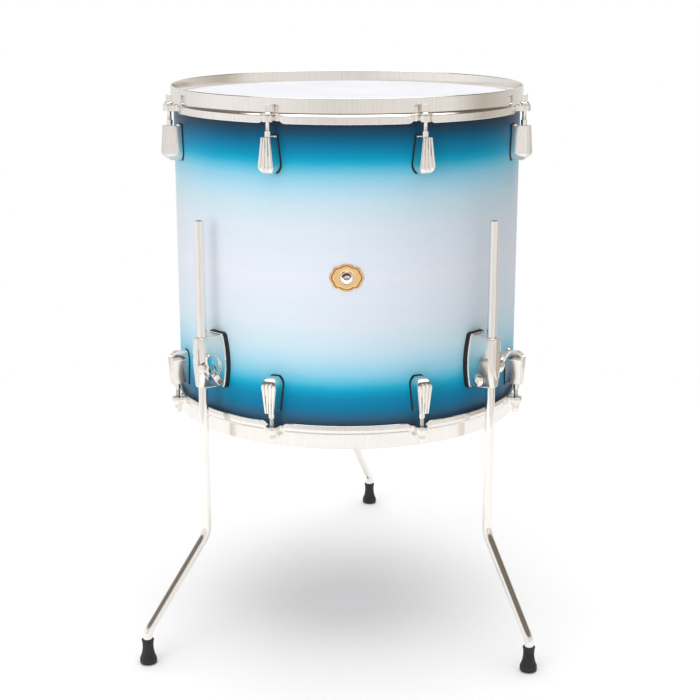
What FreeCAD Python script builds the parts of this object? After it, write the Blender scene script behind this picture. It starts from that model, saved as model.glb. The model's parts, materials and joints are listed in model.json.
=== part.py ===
import FreeCAD, Part
import math
import os
import Sketcher
from FreeCAD import Placement, Rotation, Vector

# A floor tom: a 16 x 14 inch drum with a cast hoop and eight tension rods at each end, standing on
# three bent tube legs that slide and swivel in clamping brackets.
#
# The part's frame has +Z up and its origin on the floor, under the middle of the whole footprint.
# Drum hardware is drawn in the drum's own frame, whose origin is the middle of the drum, with the
# batter end up: X is the distance out from the drum's axis. Bracket pieces are drawn in a frame that
# stands on the floor under the drum's axis, with X out through the bracket.

# alias, size in millimetres (or degrees, or a count), meaning
SIZES = (
    ("drum_middle", 443.7, "height of the drum's middle above the floor"),
    ("rods_per_end", 8, "tension rods at each end"),
    # room for cutting, and small fits
    ("overcut", 5.0, "how far a cut starts before and runs past what it cuts"),
    ("margin", 20.0, "how far a trimming outline reaches beyond what it leaves"),
    ("arc_ease", 0.01, "added to a round end's radius, so that its arc is just under a half circle"),
    ("tap_fit", 0.05, "room around a screw in its tapped hole"),
    ("tap_depth", 0.5, "room beyond a screw's end in its hole"),
    ("seat_gap", 0.15, "room between the shell's curved inner face and a flat flange on it"),
    ("screw_flange_thick", 1.0, "thickness of the flange under an inside screw's head"),
    ("screw_head_tall", 2.6, "height of an inside screw's flange and head"),
    # drum shell
    ("drum_radius", 202.0, "outer radius of the drum shell"),
    ("drum_wall", 6.0, "thickness of the drum shell"),
    ("half_depth", 177.8, "half of the drum shell's length"),
    ("edge_flat", 0.4, "width of the flat on each bearing edge"),
    ("edge_setback", 1.6, "bearing edge, in from the outer face"),
    ("edge_round", 2.4, "height of the round-over outside the bearing edge"),
    ("lug_hole", 2.3, "radius of a lug screw's hole in the shell"),
    ("bracket_hole", 3.2, "radius of a bracket screw's hole in the shell"),
    ("vent_hole", 5.85, "radius of the vent's hole"),
    # badge and vent grommet
    ("badge_thick", 0.6, "thickness of the badge"),
    ("badge_half_height", 15.0, "half of the badge's height"),
    ("badge_height", 1.1, "badge's centre above the drum's middle"),
    ("side_notch_out", 15.7, "notch beside a side lobe, from the badge's centre"),
    ("side_notch_up", 5.9, "that notch, above the badge's centre"),
    ("top_notch_out", 8.3, "notch beside the top lobe, from the badge's centre"),
    ("top_notch_up", 12.0, "that notch, above the badge's centre"),
    ("side_lobe", 7.3, "radius of the badge's side lobes"),
    ("top_lobe", 13.0, "radius of the badge's top and bottom lobes"),
    ("corner_lobe", 6.2, "radius of the badge's four other lobes"),
    ("grommet_bore", 5.15, "radius of the grommet's hole"),
    ("grommet_tube", 5.8, "outer radius of the grommet's tube"),
    ("grommet_flange", 7.2, "radius of the grommet's flanges"),
    ("grommet_lip", 1.3, "thickness of the grommet's outer flange"),
    ("grommet_round", 1.0, "how far the outer flange's round edge reaches"),
    ("grommet_chamfer", 0.4, "chamfer around the grommet's hole"),
    ("grommet_back", 1.0, "thickness of the grommet's inner flange"),
    ("grommet_seat", 0.02, "room between the badge and the outer flange"),
    # heads
    ("film_thick", 0.35, "thickness of a head's film"),
    ("film_gap", 0.3, "room between the film's collar and the shell"),
    ("film_bend", 1.9, "how far the film's bend reaches in over the edge and down"),
    ("film_bend_share", 0.3, "the bend's middle corner, as a share of that reach"),
    ("film_foot", 168.65, "underside of the film's turned-out foot"),
    ("film_foot_radius", 204.6, "outer radius of the film's foot"),
    ("flesh_inner", 202.9, "inner radius of a flesh hoop"),
    ("flesh_outer", 205.5, "outer radius of a flesh hoop"),
    ("flesh_low", 167.8, "underside of a flesh hoop"),
    ("flesh_high", 172.25, "upper face of a flesh hoop"),
    ("slot_room", 0.05, "room on each side of the film's foot in the flesh hoop"),
    # counter hoops
    ("hoop_inner", 203.1, "inner radius of the hoop's wall"),
    ("hoop_wall", 205.1, "outer radius of the hoop's wall"),
    ("skirt_inner", 205.9, "inner radius of the hoop's skirt"),
    ("skirt_outer", 208.2, "outer radius of the hoop's skirt"),
    ("rim_high", 190.9, "top of the hoop's rim"),
    ("press_face", 172.3, "face of the hoop that presses on the flesh hoop"),
    ("wall_foot", 175.3, "foot of the hoop's wall, outside"),
    ("skirt_shoulder", 172.4, "upper edge of the skirt's shoulder"),
    ("skirt_side", 171.1, "top of the skirt's upright side"),
    ("shoulder_reach", 0.9, "how far the shoulder's round edge reaches in"),
    ("shoulder_round", 1.4, "radius of the shoulder's round edge"),
    ("shoulder_sweep", 5.0, "radius of the sweep from the shoulder up to the wall"),
    ("skirt_low", 163.3, "lowest edge of the skirt"),
    ("arch_half", 9.0, "half width of the arch in the skirt's edge at an ear, at the arch's top"),
    ("arch_foot", 14.0, "half width of that arch at the skirt's edge"),
    ("arch_round", 5.5, "radius of the arch's rounded ends"),
    ("ear_half", 7.0, "half width of an ear, and the radius of its end"),
    ("ear_root", 205.95, "inner end of an ear"),
    ("ear_foot_half", 13.0, "half width of an ear where it flares into the skirt"),
    ("ear_foot_out", 207.6, "start of an ear's flared sides, from the drum's axis"),
    ("ear_side", 212.0, "start of an ear's straight sides"),
    ("ear_flare", 4.65, "radius of an ear's flared sides"),
    ("ear_low", 166.3, "underside of an ear"),
    ("ear_high", 173.5, "upper face of an ear"),
    ("ear_hole", 3.1, "radius of the rod's hole in an ear"),
    # tension rods
    ("rod_circle", 214.9, "distance of the tension rods from the drum's axis"),
    ("rod_radius", 2.6, "radius of a tension rod"),
    ("rod_end", 126.5, "inner end of a tension rod"),
    ("rod_flange", 5.4, "radius of the flange under a rod's head"),
    ("rod_flange_thick", 1.6, "thickness of that flange"),
    ("rod_square", 6.6, "width of a rod's square head"),
    ("rod_head", 8.7, "height of a rod's square head"),
    ("rod_overlap", 0.5, "how far a rod's shank and head run into its flange"),
    ("rod_room", 0.6, "room around a rod's end in a lug"),
    ("washer_radius", 5.9, "radius of a rod's washer"),
    ("washer_bore", 2.95, "radius of the washer's hole"),
    ("washer_thick", 1.2, "thickness of a rod's washer"),
    # lugs
    ("lug_back", 203.0, "radius of the lug's curved back"),
    ("lug_low", 111.3, "far end of a lug"),
    ("lug_high", 150.3, "hoop end of a lug"),
    ("lug_wide_at", 121.0, "height where a lug is widest"),
    ("lug_front_high", 220.9, "front of a lug at its hoop end"),
    ("lug_front_low", 222.2, "front of a lug at its widest place"),
    ("lug_dome", 10.5, "radius of the lug's domed end"),
    ("lug_dome_start", 214.5, "where the dome starts, from the drum's axis"),
    ("lug_half_high", 5.2, "half width of a lug at its hoop end"),
    ("lug_half_low", 8.75, "half width of a lug at its widest place"),
    ("lug_half_end", 4.0, "half width of the flat on the lug's far end"),
    ("lug_side_bow", 12.0, "radius of the lug's rounded sides and end, seen from in front"),
    ("lug_tip", 0.7, "how far the lug's plate stands past its front at the hoop end"),
    ("lug_plate", 1.8, "thickness of the plate beside the scoop"),
    ("scoop_start", 210.4, "where the scoop in the lug's hoop end starts, from the drum's axis"),
    ("scoop_round", 3.1, "radius of the scoop"),
    ("rib_rise", 1.2, "height of the ribs above the lug's front"),
    ("rib_pitch_high", 2.7, "rib spacing at the hoop end"),
    ("rib_pitch_low", 4.4, "rib spacing at the toes"),
    ("rib_half_high", 0.95, "half width of a rib at the hoop end"),
    ("rib_half_low", 1.55, "half width of a rib at its toe"),
    ("rib_toe", 118.0, "height where a middle rib's round toe starts"),
    ("rib_toe_step", 1.5, "how much sooner an outer rib's toe starts"),
    ("rib_root", 7.0, "how deep a rib runs into the casting"),
    ("nut_pocket_half", 5.2, "half width of the pocket for the swivel nut"),
    ("nut_pocket_low", 132.5, "bottom of that pocket"),
    ("nut_pocket_high", 143.8, "top of that pocket"),
    ("nut_body", 4.8, "radius of a swivel nut's body"),
    ("nut_low", 133.6, "bottom of a swivel nut"),
    ("nut_shoulder", 143.4, "shoulder of a swivel nut"),
    ("nut_neck", 3.5, "radius of a swivel nut's neck"),
    ("nut_high", 156.3, "end of a swivel nut's neck"),
    ("nut_bore", 2.65, "radius of a swivel nut's bore"),
    ("neck_hole", 3.7, "radius of the neck's hole in the lug"),
    ("lug_screw_low", 117.5, "height of a lug's far screw"),
    ("lug_screw_high", 128.0, "height of a lug's near screw"),
    ("lug_screw", 2.0, "radius of a lug screw"),
    ("lug_screw_tip", 212.0, "outer end of a lug screw"),
    ("lug_screw_head", 3.6, "radius of a lug screw's head"),
    ("lug_screw_flange", 4.8, "radius of the flange under that head"),
    ("lug_gasket_border", 0.8, "how far a lug's gasket stands out around it"),
    # leg brackets
    ("leg_circle", 227.0, "distance of the upright part of a leg from the drum's axis"),
    ("gasket_front", 205.5, "outer face of a bracket's gasket"),
    ("flange_front", 207.3, "outer face of a bracket's flange"),
    ("flange_low", 309.2, "lower end of a bracket's flange"),
    ("flange_high", 370.8, "upper end of a bracket's flange"),
    ("flange_border", 0.8, "how far the flange stands out around the casting"),
    ("gasket_border", 1.2, "how far the gasket stands out around the flange"),
    ("base_half_high", 11.5, "half width of the casting's base, upper end"),
    ("base_half_low", 12.6, "half width of the casting's base, lower end"),
    ("base_bow", 105.0, "radius of the bowed sides of the base"),
    ("corner_front", 232.0, "where the casting's sides meet its front"),
    ("front_half_high", 8.8, "half width there, upper end"),
    ("front_half_low", 6.6, "half width there, lower end"),
    ("front_bow", 122.0, "radius of the bowed sides there"),
    ("front_low", 311.2, "lower end of the casting's front"),
    ("front_high", 369.0, "upper end of the casting's front"),
    ("face_front", 235.0, "front face of the casting"),
    ("face_low", 312.7, "lower end of that face"),
    ("face_high", 368.5, "upper end of that face"),
    ("face_half_high", 4.6, "half width of that face, upper end"),
    ("face_half_low", 3.4, "half width of that face, lower end"),
    ("face_bow", 230.0, "radius of the bowed sides of that face"),
    ("keel_front", 236.6, "front of the casting's middle rib"),
    ("keel_half", 3.9, "half width of the middle rib"),
    ("keel_half_high", 3.5, "half width of the middle rib at its upper end"),
    ("keel_bow", 30.0, "radius of the middle rib's bowed sides"),
    ("keel_taper", 336.0, "height where the middle rib starts to taper"),
    ("keel_toe", 321.0, "point at the foot of the middle rib"),
    ("bracket_corner", 2.5, "corner radius of the casting's outline"),
    ("leg_bore", 5.3, "radius of the leg's bore"),
    ("clamp_height", 335.0, "height of the clamp's eyebolt"),
    ("eye_pocket", 8.6, "half width of the eye's pocket"),
    ("eye_pocket_centre", 226.2, "centre of the pocket's round end"),
    ("eye_pocket_tall", 8.2, "height of the eye's pocket"),
    ("shank_hole", 3.3, "radius of the eyebolt's hole"),
    ("boss_radius", 9.5, "radius of the boss under the wing nut"),
    ("boss_face", 12.3, "face of that boss, from the leg's axis"),
    ("mount_screw_low", 320.0, "height of a bracket's lower mounting screw"),
    ("mount_screw_high", 357.0, "height of a bracket's upper mounting screw"),
    ("mount_screw", 2.95, "radius of a bracket's mounting screw"),
    ("mount_screw_hole", 3.0, "radius of its tapped hole"),
    ("mount_screw_tip", 217.5, "outer end of a bracket's mounting screw"),
    ("mount_screw_head", 5.0, "radius of its head"),
    ("mount_screw_flange", 7.0, "radius of the flange under its head"),
    ("side_screw_out", 219.2, "side screw's centre, from the drum's axis"),
    ("side_screw_height", 319.8, "height of the side screw"),
    ("side_screw_face", 12.0, "seat of the side screw, from the bracket's middle"),
    ("side_screw_tilt", 12.5, "lean of the casting's side face, in degrees"),
    ("side_screw_head", 6.5, "radius of the side screw's head"),
    ("side_screw_room", 0.3, "room around the side screw's head in its seat"),
    ("side_screw_tall", 2.6, "height of the side screw's head"),
    ("side_screw_edge", 0.9, "height of the head's upright side"),
    ("side_screw_dome", 9.0, "radius of the head's dome"),
    ("side_screw_top", 2.9, "radius of the flat on top of the head"),
    ("cross_wide", 1.1, "width of an arm of the head's cross recess"),
    ("cross_long", 5.4, "length of an arm of the cross recess"),
    ("cross_deep", 1.8, "depth of the cross recess"),
    ("side_screw_shank", 2.0, "radius of the side screw"),
    ("side_screw_long", 4.5, "length of the side screw under its head"),
    # eyebolts and wing nuts
    ("eye_outer", 7.6, "outer radius of the eye"),
    ("eye_inner", 5.9, "inner radius of the eye"),
    ("eye_tall", 7.0, "height of the eye"),
    ("eye_root", 7.1, "start of the shank, from the leg's axis"),
    ("eye_offset", 0.6, "how far the clamped eye is drawn to the nut's side"),
    ("shank_radius", 3.0, "radius of the eyebolt's shank"),
    ("shank_tip", 16.3, "end of the shank, from the leg's axis"),
    ("wing_base", 12.35, "base of the wing nut, from the leg's axis"),
    ("wing_hub", 6.5, "radius of the wing nut's hub"),
    ("wing_hub_top", 17.3, "top of the hub, from the leg's axis"),
    ("wing_bore", 3.05, "radius of the wing nut's bore"),
    ("wing_dish", 4.2, "radius of the dish around the shank's end"),
    ("wing_dish_floor", 15.6, "floor of the dish, from the leg's axis"),
    ("wing_span", 21.0, "reach of each wing"),
    ("wing_root", 4.0, "inner end of a wing's outline"),
    ("wing_knee", 7.5, "where a wing starts to sweep up"),
    ("wing_lift", 1.7, "underside of a wing at its knee, above the nut's base"),
    ("wing_crest", 17.7, "top of a wing at its knee, from the leg's axis"),
    ("wing_sweep", 24.0, "radius of the sweep along a wing's top"),
    ("wing_tip_in", 1.6, "how far the underside stops short of the wing's reach"),
    ("wing_tip_back", 2.2, "how far the top stops short of the wing's reach"),
    ("wing_tip_drop", 1.4, "how far the tip's upper rounding reaches down"),
    ("wing_tip_round", 2.2, "radius of the rounding under the tip"),
    ("wing_tip_top", 1.6, "radius of the rounding over the tip"),
    ("wing_half", 3.4, "half width of a wing"),
    ("wing_low", 18.7, "underside of a wing's tip, from the leg's axis"),
    ("wing_high", 22.4, "top of a wing's tip, from the leg's axis"),
    ("wing_tilt", 26.0, "lean of the wings from upright, in degrees"),
    # legs
    ("leg_radius", 5.25, "outer radius of a leg's tube"),
    ("leg_inner", 3.35, "inner radius of a leg's tube"),
    ("leg_high", 499.0, "upper end of a leg's tube"),
    ("leg_foot_end", 4.2, "lower end of a leg's tube"),
    ("leg_splay", 82.8, "how far the foot stands out from the upright part"),
    ("knee_height", 138.0, "height of the corner of the upper bend"),
    ("knee_bend", 28.0, "radius of the upper bend"),
    ("ankle_height", 37.2, "height of the corner of the lower bend"),
    ("ankle_bend", 20.0, "radius of the lower bend"),
    ("swivel_left", -6.7, "swivel of the left leg from straight out, in degrees"),
    ("swivel_right", -13.2, "swivel of the right leg"),
    ("swivel_rear", -22.8, "swivel of the rear leg"),
    ("plug_radius", 3.3, "radius of the plug in a leg's upper end"),
    ("plug_sunk", 0.7, "how far the plug is sunk in the tube"),
    ("plug_long", 12.0, "length of the plug"),
    ("plug_chamfer", 0.4, "chamfer around the plug's upper end"),
    ("foot_radius", 9.75, "largest radius of a foot"),
    ("foot_flat", 7.4, "radius of the face that a foot stands on"),
    ("foot_edge_round", 2.4, "radius of the rounding around that face"),
    ("foot_edge_high", 2.6, "height where that rounding ends"),
    ("foot_side_in", 0.15, "how far the side leans in at its top"),
    ("foot_side_high", 6.5, "height where the foot's flare starts"),
    ("foot_flare", 34.0, "radius of the flare"),
    ("foot_high", 29.7, "height of a foot"),
    ("foot_lip_round", 1.2, "radius and height of the rounding at the foot's upper end"),
    ("foot_lip_in", 0.9, "how far that rounding reaches in"),
    ("foot_neck", 7.0, "radius of a foot at its upper end"),
    ("foot_bore", 5.3, "radius of the hole for the leg"),
    ("foot_floor", 4.1, "depth of rubber under the leg"),
)

# name, direction of the bracket around the drum from straight in front, and the leg's swivel
LEGS = (
    ("left", -45.0, "swivel_left"),
    ("right", 45.0, "swivel_right"),
    ("rear", 180.0, "swivel_rear"),
)

BADGE_SWEEP = 14.0  # the strip around the drum that the badge is cut from, in degrees
LUG_SWEEP = 7.0  # the strip that a lug's gasket is cut from
HEAD_TURNS = {"batter": 20, "resonant": 55}  # how far the first rod's square head is turned
HEAD_TURN_STEP = 37  # how much further each next head is turned
RIBS = (-1.5, -0.5, 0.5, 1.5)  # a lug's ribs, in rib spacings from its middle

doc = FreeCAD.newDocument("floor_tom")
sheet = doc.addObject("Spreadsheet::Sheet", "sizes")
for row, (alias, size, meaning) in enumerate(SIZES, start=1):
    sheet.set("A%d" % row, meaning)
    sheet.set("B%d" % row, str(size))
    sheet.setAlias("B%d" % row, alias)
doc.recompute()

PARTS = []


def of(alias):
    """The sheet formula for one size."""
    return "sizes." + alias


def value(formula):
    """What a sheet formula comes to, in millimetres or degrees."""
    return float(sheet.evalExpression(formula))


# ---------------------------------------------------------------- sketches

def plane(body, role):
    """One of a body's own origin planes or axes."""
    for feature in body.Origin.OriginFeatures:
        if feature.Role == role:
            return feature
    raise ValueError(role)


def new_body(label):
    body = doc.addObject("PartDesign::Body", label)
    body.Label = label
    body.AllowCompound = True
    return body


def new_sketch(body, role, name, out=None, turn=None):
    """A sketch on an origin plane, moved out along its normal and turned about its own Y."""
    sketch = body.newObject("Sketcher::SketchObject", name)
    sketch.AttachmentSupport = (plane(body, role), "")
    sketch.MapMode = "FlatFace"
    rotation = Rotation(Vector(0, 1, 0), turn or 0)
    sketch.AttachmentOffset = Placement(Vector(), rotation)
    if out is not None:
        sketch.setExpression("AttachmentOffset.Base.z", out)
    return sketch


def pin(sketch, geometry, end, across, up):
    """Hold one point of a sketch at a place given by two sheet formulas."""
    for kind, axis, formula in (("DistanceX", -2, across), ("DistanceY", -1, up)):
        size = value(formula)
        if abs(size) < 1e-9:
            sketch.addConstraint(Sketcher.Constraint("PointOnObject", geometry, end, axis))
            continue
        ends = (-1, 1, geometry, end)
        if size < 0:
            ends = (geometry, end, -1, 1)
            formula = "-(%s)" % formula
        number = sketch.addConstraint(Sketcher.Constraint(kind, *ends, abs(size)))
        sketch.setExpression("Constraints[%d]" % number, formula)


def arc_between(start, end, radius, side):
    """A short arc between two points that bows to the left (+1) or right (-1) of its way."""
    chord = end - start
    half = chord.Length / 2
    rise = radius - math.sqrt(max(radius * radius - half * half, 0))
    left = Vector(-chord.y, chord.x, 0).normalize()
    middle = (start + end) * 0.5 + left * (rise * side)
    return Part.Arc(start, middle, end)


def outline(sketch, corners, closed=True):
    """Lines and arcs through corners, each held by two sheet formulas.

    A corner is (across, up), or (across, up, radius, side) where an arc leaves it.
    """
    places = [Vector(value(corner[0]), value(corner[1]), 0) for corner in corners]
    count = len(corners) if closed else len(corners) - 1
    ends = []
    for index in range(count):
        start = places[index]
        finish = places[(index + 1) % len(places)]
        if len(corners[index]) == 2:
            number = sketch.addGeometry(Part.LineSegment(start, finish))
        else:
            radius = value(corners[index][2])
            number = sketch.addGeometry(arc_between(start, finish, radius, corners[index][3]))
        first = 1 if (sketch.getPoint(number, 1) - start).Length < 1e-6 else 2
        ends.append((number, first, 3 - first))
    for index, (number, first, last) in enumerate(ends):
        pin(sketch, number, first, corners[index][0], corners[index][1])
        if len(corners[index]) > 2:
            radius = value(corners[index][2])
            held = sketch.addConstraint(Sketcher.Constraint("Radius", number, radius))
            sketch.setExpression("Constraints[%d]" % held, corners[index][2])
        if closed or index + 1 < count:
            following = ends[(index + 1) % len(ends)]
            joined = (number, last, following[0], following[1])
            sketch.addConstraint(Sketcher.Constraint("Coincident", *joined))
        else:
            pin(sketch, number, last, corners[-1][0], corners[-1][1])


def rectangle(sketch, left, right, low, high):
    outline(sketch, ((left, low), (right, low), (right, high), (left, high)))


def circle(sketch, across, up, radius):
    number = sketch.addGeometry(Part.Circle(
        Vector(value(across), value(up), 0), Vector(0, 0, 1), value(radius)))
    pin(sketch, number, 3, across, up)
    held = sketch.addConstraint(Sketcher.Constraint("Radius", number, value(radius)))
    sketch.setExpression("Constraints[%d]" % held, radius)


# ---------------------------------------------------------------- features

def add_feature(body, kind, name, sketch, length=None):
    feature = body.newObject("PartDesign::" + kind, name)
    feature.Profile = sketch
    if length is not None:
        feature.setExpression("Length", length)
    return feature


def checked(body, feature, grows):
    """Recompute, and make sure that a feature added or removed something."""
    before = 0.0 if body.Shape.isNull() else body.Shape.Volume
    body.Tip = feature
    doc.recompute()
    change = body.Shape.Volume - before
    if abs(change) < 1e-3 or (change > 0) != grows:
        raise RuntimeError("%s in %s changed the volume by %g" % (feature.Name, body.Label, change))
    return feature


def pad(body, sketch, length, symmetric=False, back=False):
    feature = add_feature(body, "Pad", "Pad", sketch, length)
    feature.SideType = "Symmetric" if symmetric else "One side"
    feature.Reversed = back
    return checked(body, feature, True)


def pocket(body, sketch, length, symmetric=False, forward=False):
    """Cut against the sketch's normal, or along it when forward is set."""
    feature = add_feature(body, "Pocket", "Pocket", sketch, length)
    feature.SideType = "Symmetric" if symmetric else "One side"
    feature.Reversed = forward
    return checked(body, feature, False)


def turned(body, kind, sketch, angle=360.0, centred=False):
    """A Revolution or Groove about the body's Z axis."""
    feature = add_feature(body, kind, kind, sketch)
    feature.ReferenceAxis = (plane(body, "Z_Axis"), [""])
    feature.Angle = angle
    feature.Midplane = centred
    return checked(body, feature, kind == "Revolution")


def around(body, features=None):
    """Repeat features, or the whole piece, at every tension rod."""
    pattern = body.newObject("PartDesign::PolarPattern", "Around")
    if features:
        pattern.Originals = features
    else:
        pattern.TransformMode = "Whole shape"
    pattern.Axis = (plane(body, "Z_Axis"), [""])
    pattern.Angle = 360
    pattern.setExpression("Occurrences", of("rods_per_end"))
    body.Tip = pattern
    doc.recompute()
    return pattern


def keep(piece, placement):
    """Place a finished piece, and list it for writing."""
    piece.Placement = placement
    PARTS.append(piece)
    return piece


# ---------------------------------------------------------------- places

def heading(angle):
    """The level direction at an angle from straight in front, towards the drum's right."""
    turn = math.radians(angle)
    return Vector(math.sin(turn), -math.cos(turn), 0)


def foot_place(angle, swivel):
    """A foot's place on the floor, from the drum's axis."""
    out = heading(angle) * value(of("leg_circle"))
    return out + heading(angle + value(of(swivel))) * value(of("leg_splay"))


def footprint_middle():
    """The middle of the box around the feet, which decide the part's extent on the floor."""
    feet = [foot_place(angle, swivel) for name, angle, swivel in LEGS]
    across = [place.x for place in feet]
    along = [place.y for place in feet]
    return Vector((min(across) + max(across)) / 2, (min(along) + max(along)) / 2, 0)


AXIS = footprint_middle() * -1.0
MIDDLE = AXIS + Vector(0, 0, value(of("drum_middle")))
HALF_STEP = 180.0 / value(of("rods_per_end"))
BATTER = Placement(MIDDLE, Rotation(Vector(0, 0, 1), HALF_STEP))
FLIP = Placement(MIDDLE, Rotation(Vector(1, 0, 0), 180))
RESONANT = FLIP.multiply(Placement(Vector(), Rotation(Vector(0, 0, 1), HALF_STEP)))
ENDS = (("batter", BATTER), ("resonant", RESONANT))
UPRIGHT = Placement(MIDDLE, Rotation())


def bracket_frame(angle):
    """The floor frame whose X points out through the bracket at this angle."""
    return Placement(AXIS, Rotation(Vector(0, 0, 1), angle - 90))


# ---------------------------------------------------------------- drum shell

OUT_OF_DRUM = "sizes.drum_radius + sizes.overcut"
INSIDE_SEAT = "sizes.drum_radius - sizes.drum_wall - sizes.seat_gap"
LUG_SCREWS = ("lug_screw_low", "lug_screw_high")
MOUNT_SCREWS = ("mount_screw_low", "mount_screw_high")


def make_drum_shell():
    body = new_body("drum_shell")
    inner = "sizes.drum_radius - sizes.drum_wall"
    outer = of("drum_radius")
    edge = "sizes.drum_radius - sizes.edge_setback"
    flat = edge + " - sizes.edge_flat"
    bevel = "(%s - (%s))" % (flat, inner)
    high = of("half_depth")
    sketch = new_sketch(body, "XZ_Plane", "Wall")
    upper = (
        (outer, high + " - sizes.edge_round"),
        (edge, high),
        (flat, high),
        (inner, high + " - " + bevel),
    )
    lower = tuple((across, "-(%s)" % up) for across, up in reversed(upper))
    outline(sketch, upper + lower)
    turned(body, "Revolution", sketch)

    sketch = new_sketch(body, "XZ_Plane", "Vent")
    circle(sketch, "0", of("badge_height"), of("vent_hole"))
    pocket(body, sketch, OUT_OF_DRUM, forward=True)

    sketch = new_sketch(body, "YZ_Plane", "LugScrews", turn=HALF_STEP)
    for alias in LUG_SCREWS:
        for sign in ("", "-"):
            circle(sketch, "0", sign + of(alias), of("lug_hole"))
    cut = pocket(body, sketch, OUT_OF_DRUM, forward=True)
    around(body, [cut])

    for name, angle, swivel in LEGS:
        sketch = new_sketch(body, "YZ_Plane", "BracketScrews", turn=angle - 90)
        for alias in MOUNT_SCREWS:
            circle(sketch, "0", of(alias) + " - sizes.drum_middle", of("bracket_hole"))
        pocket(body, sketch, OUT_OF_DRUM, forward=True)
    keep(body, UPRIGHT)


def curved_plate(body, role, inner, outer, low, high, sweep, left=False):
    """A plate bent around the drum, centred on +X, or on -Y when it is drawn on the YZ plane."""
    sketch = new_sketch(body, role, "Plate")
    if left:
        rectangle(sketch, "-(%s)" % outer, "-(%s)" % inner, low, high)
    else:
        rectangle(sketch, inner, outer, low, high)
    turned(body, "Revolution", sketch, sweep, centred=True)


def make_badge():
    """A generic scalloped plate of eight lobes, bent around the drum."""
    body = new_body("badge")
    middle = of("badge_height")
    outer = "sizes.drum_radius + sizes.badge_thick"
    low = middle + " - sizes.badge_half_height - sizes.overcut"
    high = middle + " + sizes.badge_half_height + sizes.overcut"
    curved_plate(body, "YZ_Plane", of("drum_radius"), outer, low, high, BADGE_SWEEP, left=True)

    def notch(name, across_sign, up_sign, lobe):
        """The notch where a lobe starts, on the way around the badge."""
        across = across_sign + of(name + "_notch_out")
        up = "%s %s %s" % (middle, up_sign, of(name + "_notch_up"))
        return (across, up, of(lobe), -1)

    sketch = new_sketch(body, "XZ_Plane", "Outline")
    blank = "2 * sizes.margin"
    rectangle(sketch, "-" + blank, blank, "-" + blank, blank)
    outline(sketch, (
        notch("side", "", "+", "corner_lobe"),
        notch("top", "", "+", "top_lobe"),
        notch("top", "-", "+", "corner_lobe"),
        notch("side", "-", "+", "side_lobe"),
        notch("side", "-", "-", "corner_lobe"),
        notch("top", "-", "-", "top_lobe"),
        notch("top", "", "-", "corner_lobe"),
        notch("side", "", "-", "side_lobe"),
    ))
    pocket(body, sketch, OUT_OF_DRUM, forward=True)
    sketch = new_sketch(body, "XZ_Plane", "Vent")
    circle(sketch, "0", middle, of("vent_hole"))
    pocket(body, sketch, OUT_OF_DRUM, forward=True)
    keep(body, UPRIGHT)


def make_vent_grommet():
    """A flanged tube, drawn about its own axis with the drum's axis at its origin."""
    body = new_body("vent_grommet")
    inside = INSIDE_SEAT
    face = "sizes.drum_radius + sizes.badge_thick + sizes.grommet_seat"
    lip = face + " + sizes.grommet_lip"
    sketch = new_sketch(body, "XZ_Plane", "Section")
    outline(sketch, (
        (of("grommet_bore"), inside + " - sizes.grommet_back"),
        (of("grommet_flange"), inside + " - sizes.grommet_back"),
        (of("grommet_flange"), inside),
        (of("grommet_tube"), inside),
        (of("grommet_tube"), face),
        (of("grommet_flange"), face),
        (of("grommet_flange"), lip + " - sizes.grommet_round", of("grommet_lip"), -1),
        ("sizes.grommet_flange - sizes.grommet_round", lip),
        ("sizes.grommet_bore + sizes.grommet_chamfer", lip),
        (of("grommet_bore"), lip + " - sizes.grommet_chamfer"),
    ))
    turned(body, "Revolution", sketch)
    place = MIDDLE + Vector(0, 0, value(of("badge_height")))
    keep(body, Placement(place, Rotation(Vector(1, 0, 0), 90)))


# ---------------------------------------------------------------- heads and hoops

def make_head_film(end, placement):
    """A flat film that turns down over the bearing edge and ends inside the flesh hoop.

    The turn is two flats, which keep the film's two faces apart however coarsely they are meshed.
    """
    body = new_body(end + "_head_film")
    top = of("half_depth")
    high = "sizes.half_depth + sizes.film_thick"
    collar = "(sizes.drum_radius + sizes.film_gap)"
    outside = "(sizes.drum_radius + sizes.film_gap + sizes.film_thick)"
    bend = of("film_bend")
    wide_bend = "(sizes.film_bend + sizes.film_thick)"
    part_bend = "sizes.film_bend_share * "
    foot = of("film_foot")
    sketch = new_sketch(body, "XZ_Plane", "Section")
    outline(sketch, (
        ("0", top),
        ("%s - %s" % (collar, bend), top),
        ("%s - %s%s" % (collar, part_bend, bend), "%s - %s%s" % (top, part_bend, bend)),
        (collar, "%s - %s" % (top, bend)),
        (collar, foot),
        (of("film_foot_radius"), foot),
        (of("film_foot_radius"), "%s + sizes.film_thick" % foot),
        (outside, "%s + sizes.film_thick" % foot),
        (outside, "%s - %s" % (top, bend)),
        ("%s - %s%s" % (outside, part_bend, wide_bend), "%s - %s%s" % (high, part_bend, wide_bend)),
        ("%s - %s" % (collar, bend), high),
        ("0", high),
    ))
    turned(body, "Revolution", sketch)
    keep(body, placement)


def make_flesh_hoop(end, placement):
    """The ring that carries the film, with the film's foot held in a groove inside it."""
    body = new_body(end + "_flesh_hoop")
    slot_low = "sizes.film_foot - sizes.slot_room"
    slot_high = "sizes.film_foot + sizes.film_thick + sizes.slot_room"
    slot_deep = "sizes.film_foot_radius + 2 * sizes.slot_room"
    sketch = new_sketch(body, "XZ_Plane", "Section")
    outline(sketch, (
        (of("flesh_inner"), of("flesh_low")),
        (of("flesh_outer"), of("flesh_low")),
        (of("flesh_outer"), of("flesh_high")),
        (of("flesh_inner"), of("flesh_high")),
        (of("flesh_inner"), slot_high),
        (slot_deep, slot_high),
        (slot_deep, slot_low),
        (of("flesh_inner"), slot_low),
    ))
    turned(body, "Revolution", sketch)
    keep(body, placement)


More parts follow.
